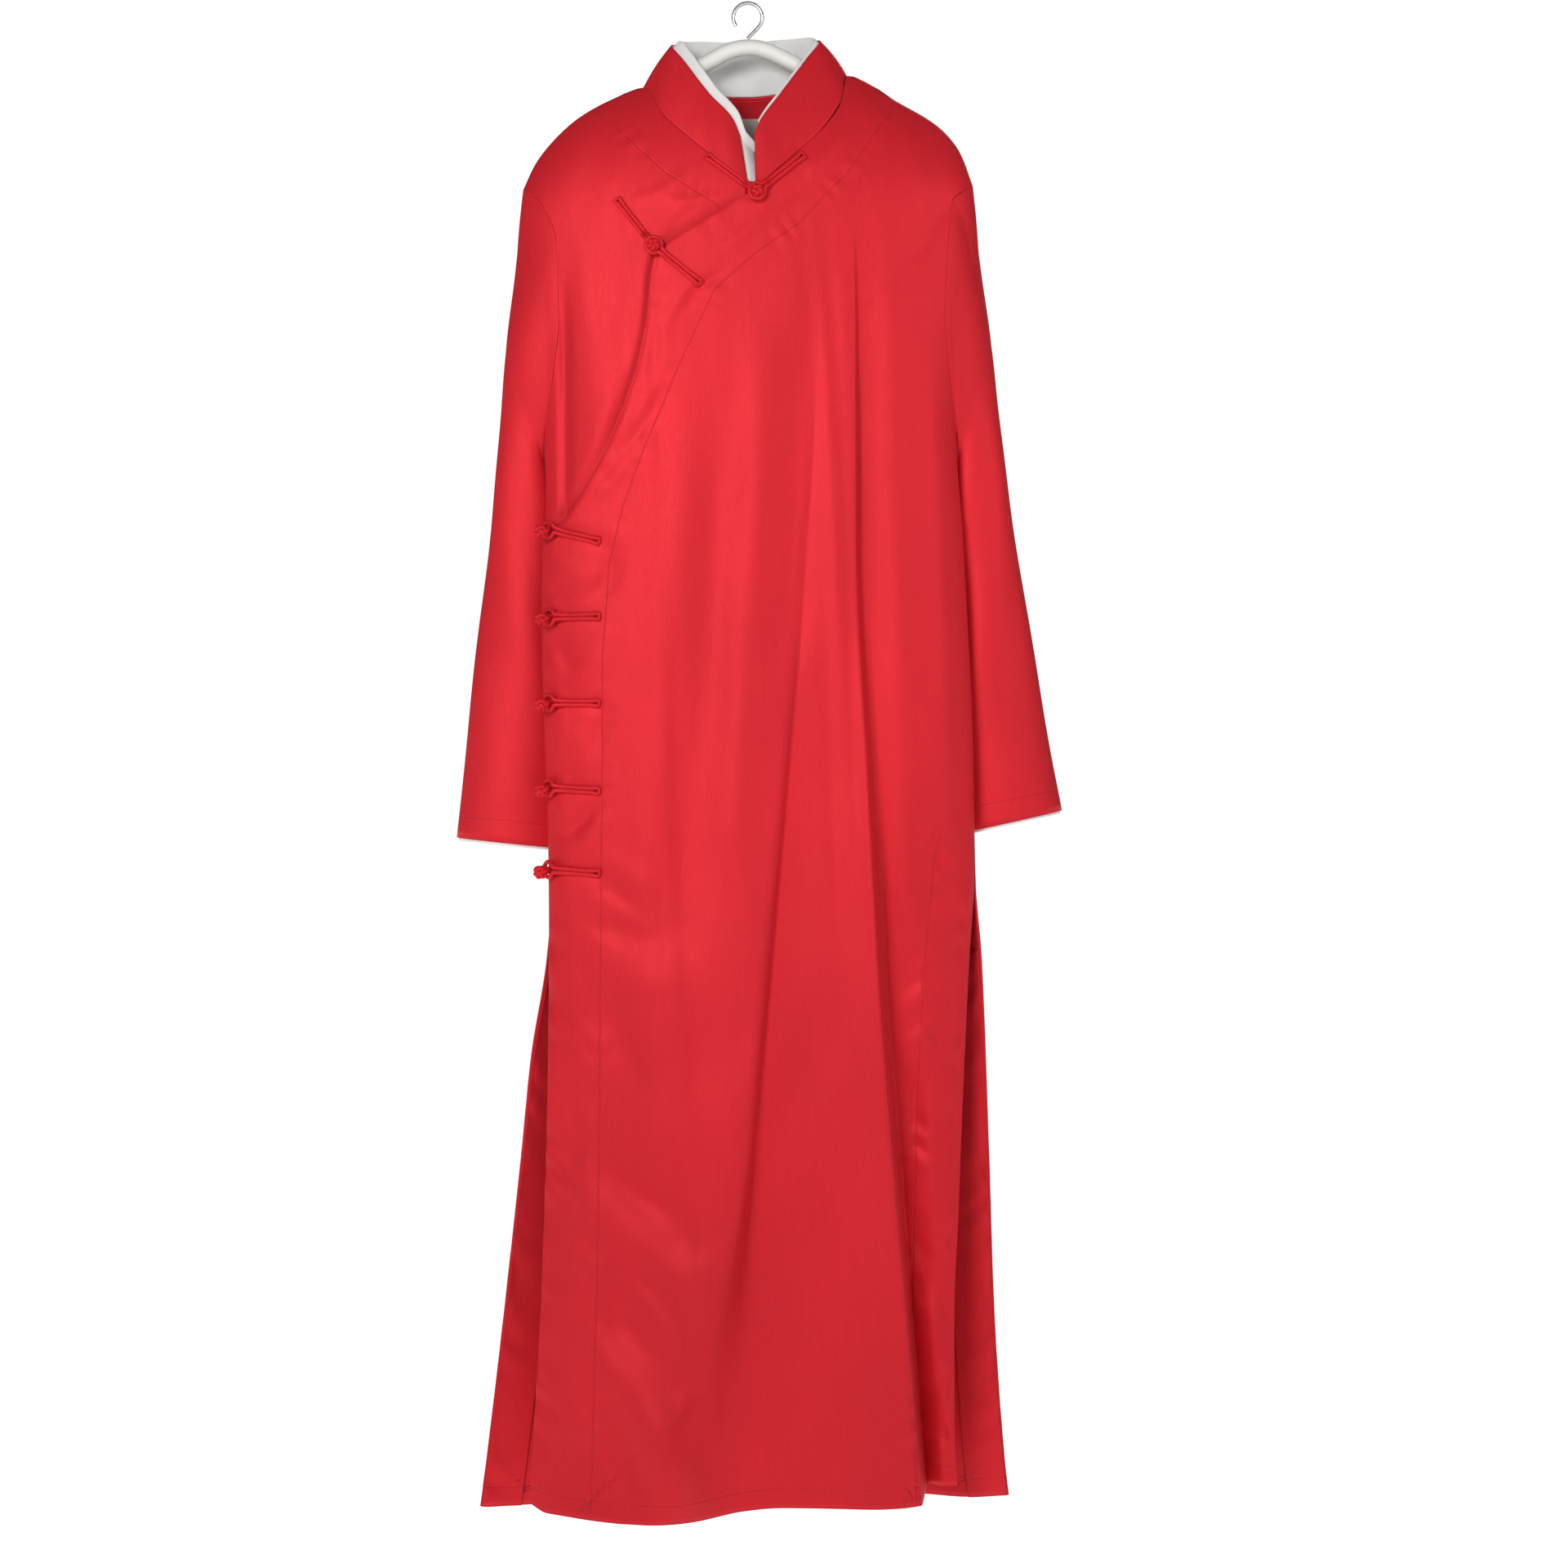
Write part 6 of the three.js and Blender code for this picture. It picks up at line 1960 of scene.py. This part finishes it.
class ROBE_OT_stage(RobePiece, bpy.types.Operator):
    """A pale floor, soft lights and the camera"""

    bl_idname = "robe.stage"
    bl_label = "Studio"

    def execute(self, context):
        stage = context.scene.robe_stage
        bpy.ops.object.select_all(action="DESELECT")
        bpy.ops.mesh.primitive_plane_add(size=FLOOR_SIZE, location=FLOOR_PLACE)
        floor = bpy.context.object
        floor.name = "studio_floor"
        floor.data.materials.append(floor_material(stage.floor_glow))
        for name, place, aim, size, spread, power, share in LIGHTS:
            area_light(name, place, aim, size, spread, getattr(stage, power) * share)

        world = context.scene.world or bpy.data.worlds.new("pale surroundings")
        context.scene.world = world
        world.use_nodes = True
        background = world.node_tree.nodes["Background"]
        background.inputs["Color"].default_value = (1, 1, 1, 1)
        background.inputs["Strength"].default_value = stage.sky
        # What the lens sees behind the robe is brighter than what lights it.
        nodes, links = world.node_tree.nodes, world.node_tree.links
        seen = nodes.new("ShaderNodeBackground")
        seen.inputs["Color"].default_value = (1, 1, 1, 1)
        seen.inputs["Strength"].default_value = 1.0
        rays = nodes.new("ShaderNodeLightPath")
        blend = nodes.new("ShaderNodeMixShader")
        links.new(rays.outputs["Is Camera Ray"], blend.inputs["Fac"])
        links.new(background.outputs[0], blend.inputs[1])
        links.new(seen.outputs[0], blend.inputs[2])
        links.new(blend.outputs[0], nodes["World Output"].inputs["Surface"])

        data = bpy.data.cameras.new("view")
        data.lens, data.sensor_width, data.sensor_fit = LENS, 36, "HORIZONTAL"
        camera = bpy.data.objects.new("view", data)
        camera.location = LENS_PLACE
        camera.rotation_euler = (math.radians(90), 0, 0)
        context.scene.collection.objects.link(camera)
        context.scene.camera = camera
        context.scene.view_settings.view_transform = "Standard"
        return {"FINISHED"}


class ROBE_PT_sidebar(bpy.types.Panel):
    bl_idname = "ROBE_PT_sidebar"
    bl_label = "Long robe"
    bl_space_type = "VIEW_3D"
    bl_region_type = "UI"
    bl_category = "Robe"

    def draw(self, context):
        layout = self.layout
        for settings in (
            context.scene.robe_sizes,
            context.scene.robe_colours,
            context.scene.robe_stage,
        ):
            box = layout.box()
            for name in settings.__annotations__:
                box.prop(settings, name)
        for operator in STEPS:
            layout.operator(operator.bl_idname)


STEPS = (
    ROBE_OT_panels,
    ROBE_OT_sleeves,
    ROBE_OT_cuffs,
    ROBE_OT_collar,
    ROBE_OT_facings,
    ROBE_OT_label,
    ROBE_OT_front_frogs,
    ROBE_OT_side_frogs,
    ROBE_OT_hanger,
    ROBE_OT_stage,
)
CLASSES = (RobeSizes, RobeColours, RobeStage, *STEPS, ROBE_PT_sidebar)


def register():
    for cls in CLASSES:
        bpy.utils.register_class(cls)
    bpy.types.Scene.robe_sizes = PointerProperty(type=RobeSizes)
    bpy.types.Scene.robe_colours = PointerProperty(type=RobeColours)
    bpy.types.Scene.robe_stage = PointerProperty(type=RobeStage)


def unregister():
    del bpy.types.Scene.robe_stage
    del bpy.types.Scene.robe_colours
    del bpy.types.Scene.robe_sizes
    for cls in reversed(CLASSES):
        bpy.utils.unregister_class(cls)


def main():
    register()
    bpy.ops.robe.panels()
    bpy.ops.robe.sleeves()
    bpy.ops.robe.cuffs()
    bpy.ops.robe.collar()
    bpy.ops.robe.facings()
    bpy.ops.robe.label()
    bpy.ops.robe.front_frogs()
    bpy.ops.robe.side_frogs()
    bpy.ops.robe.hanger()
    bpy.ops.robe.stage()


if __name__ == "__main__":
    main()
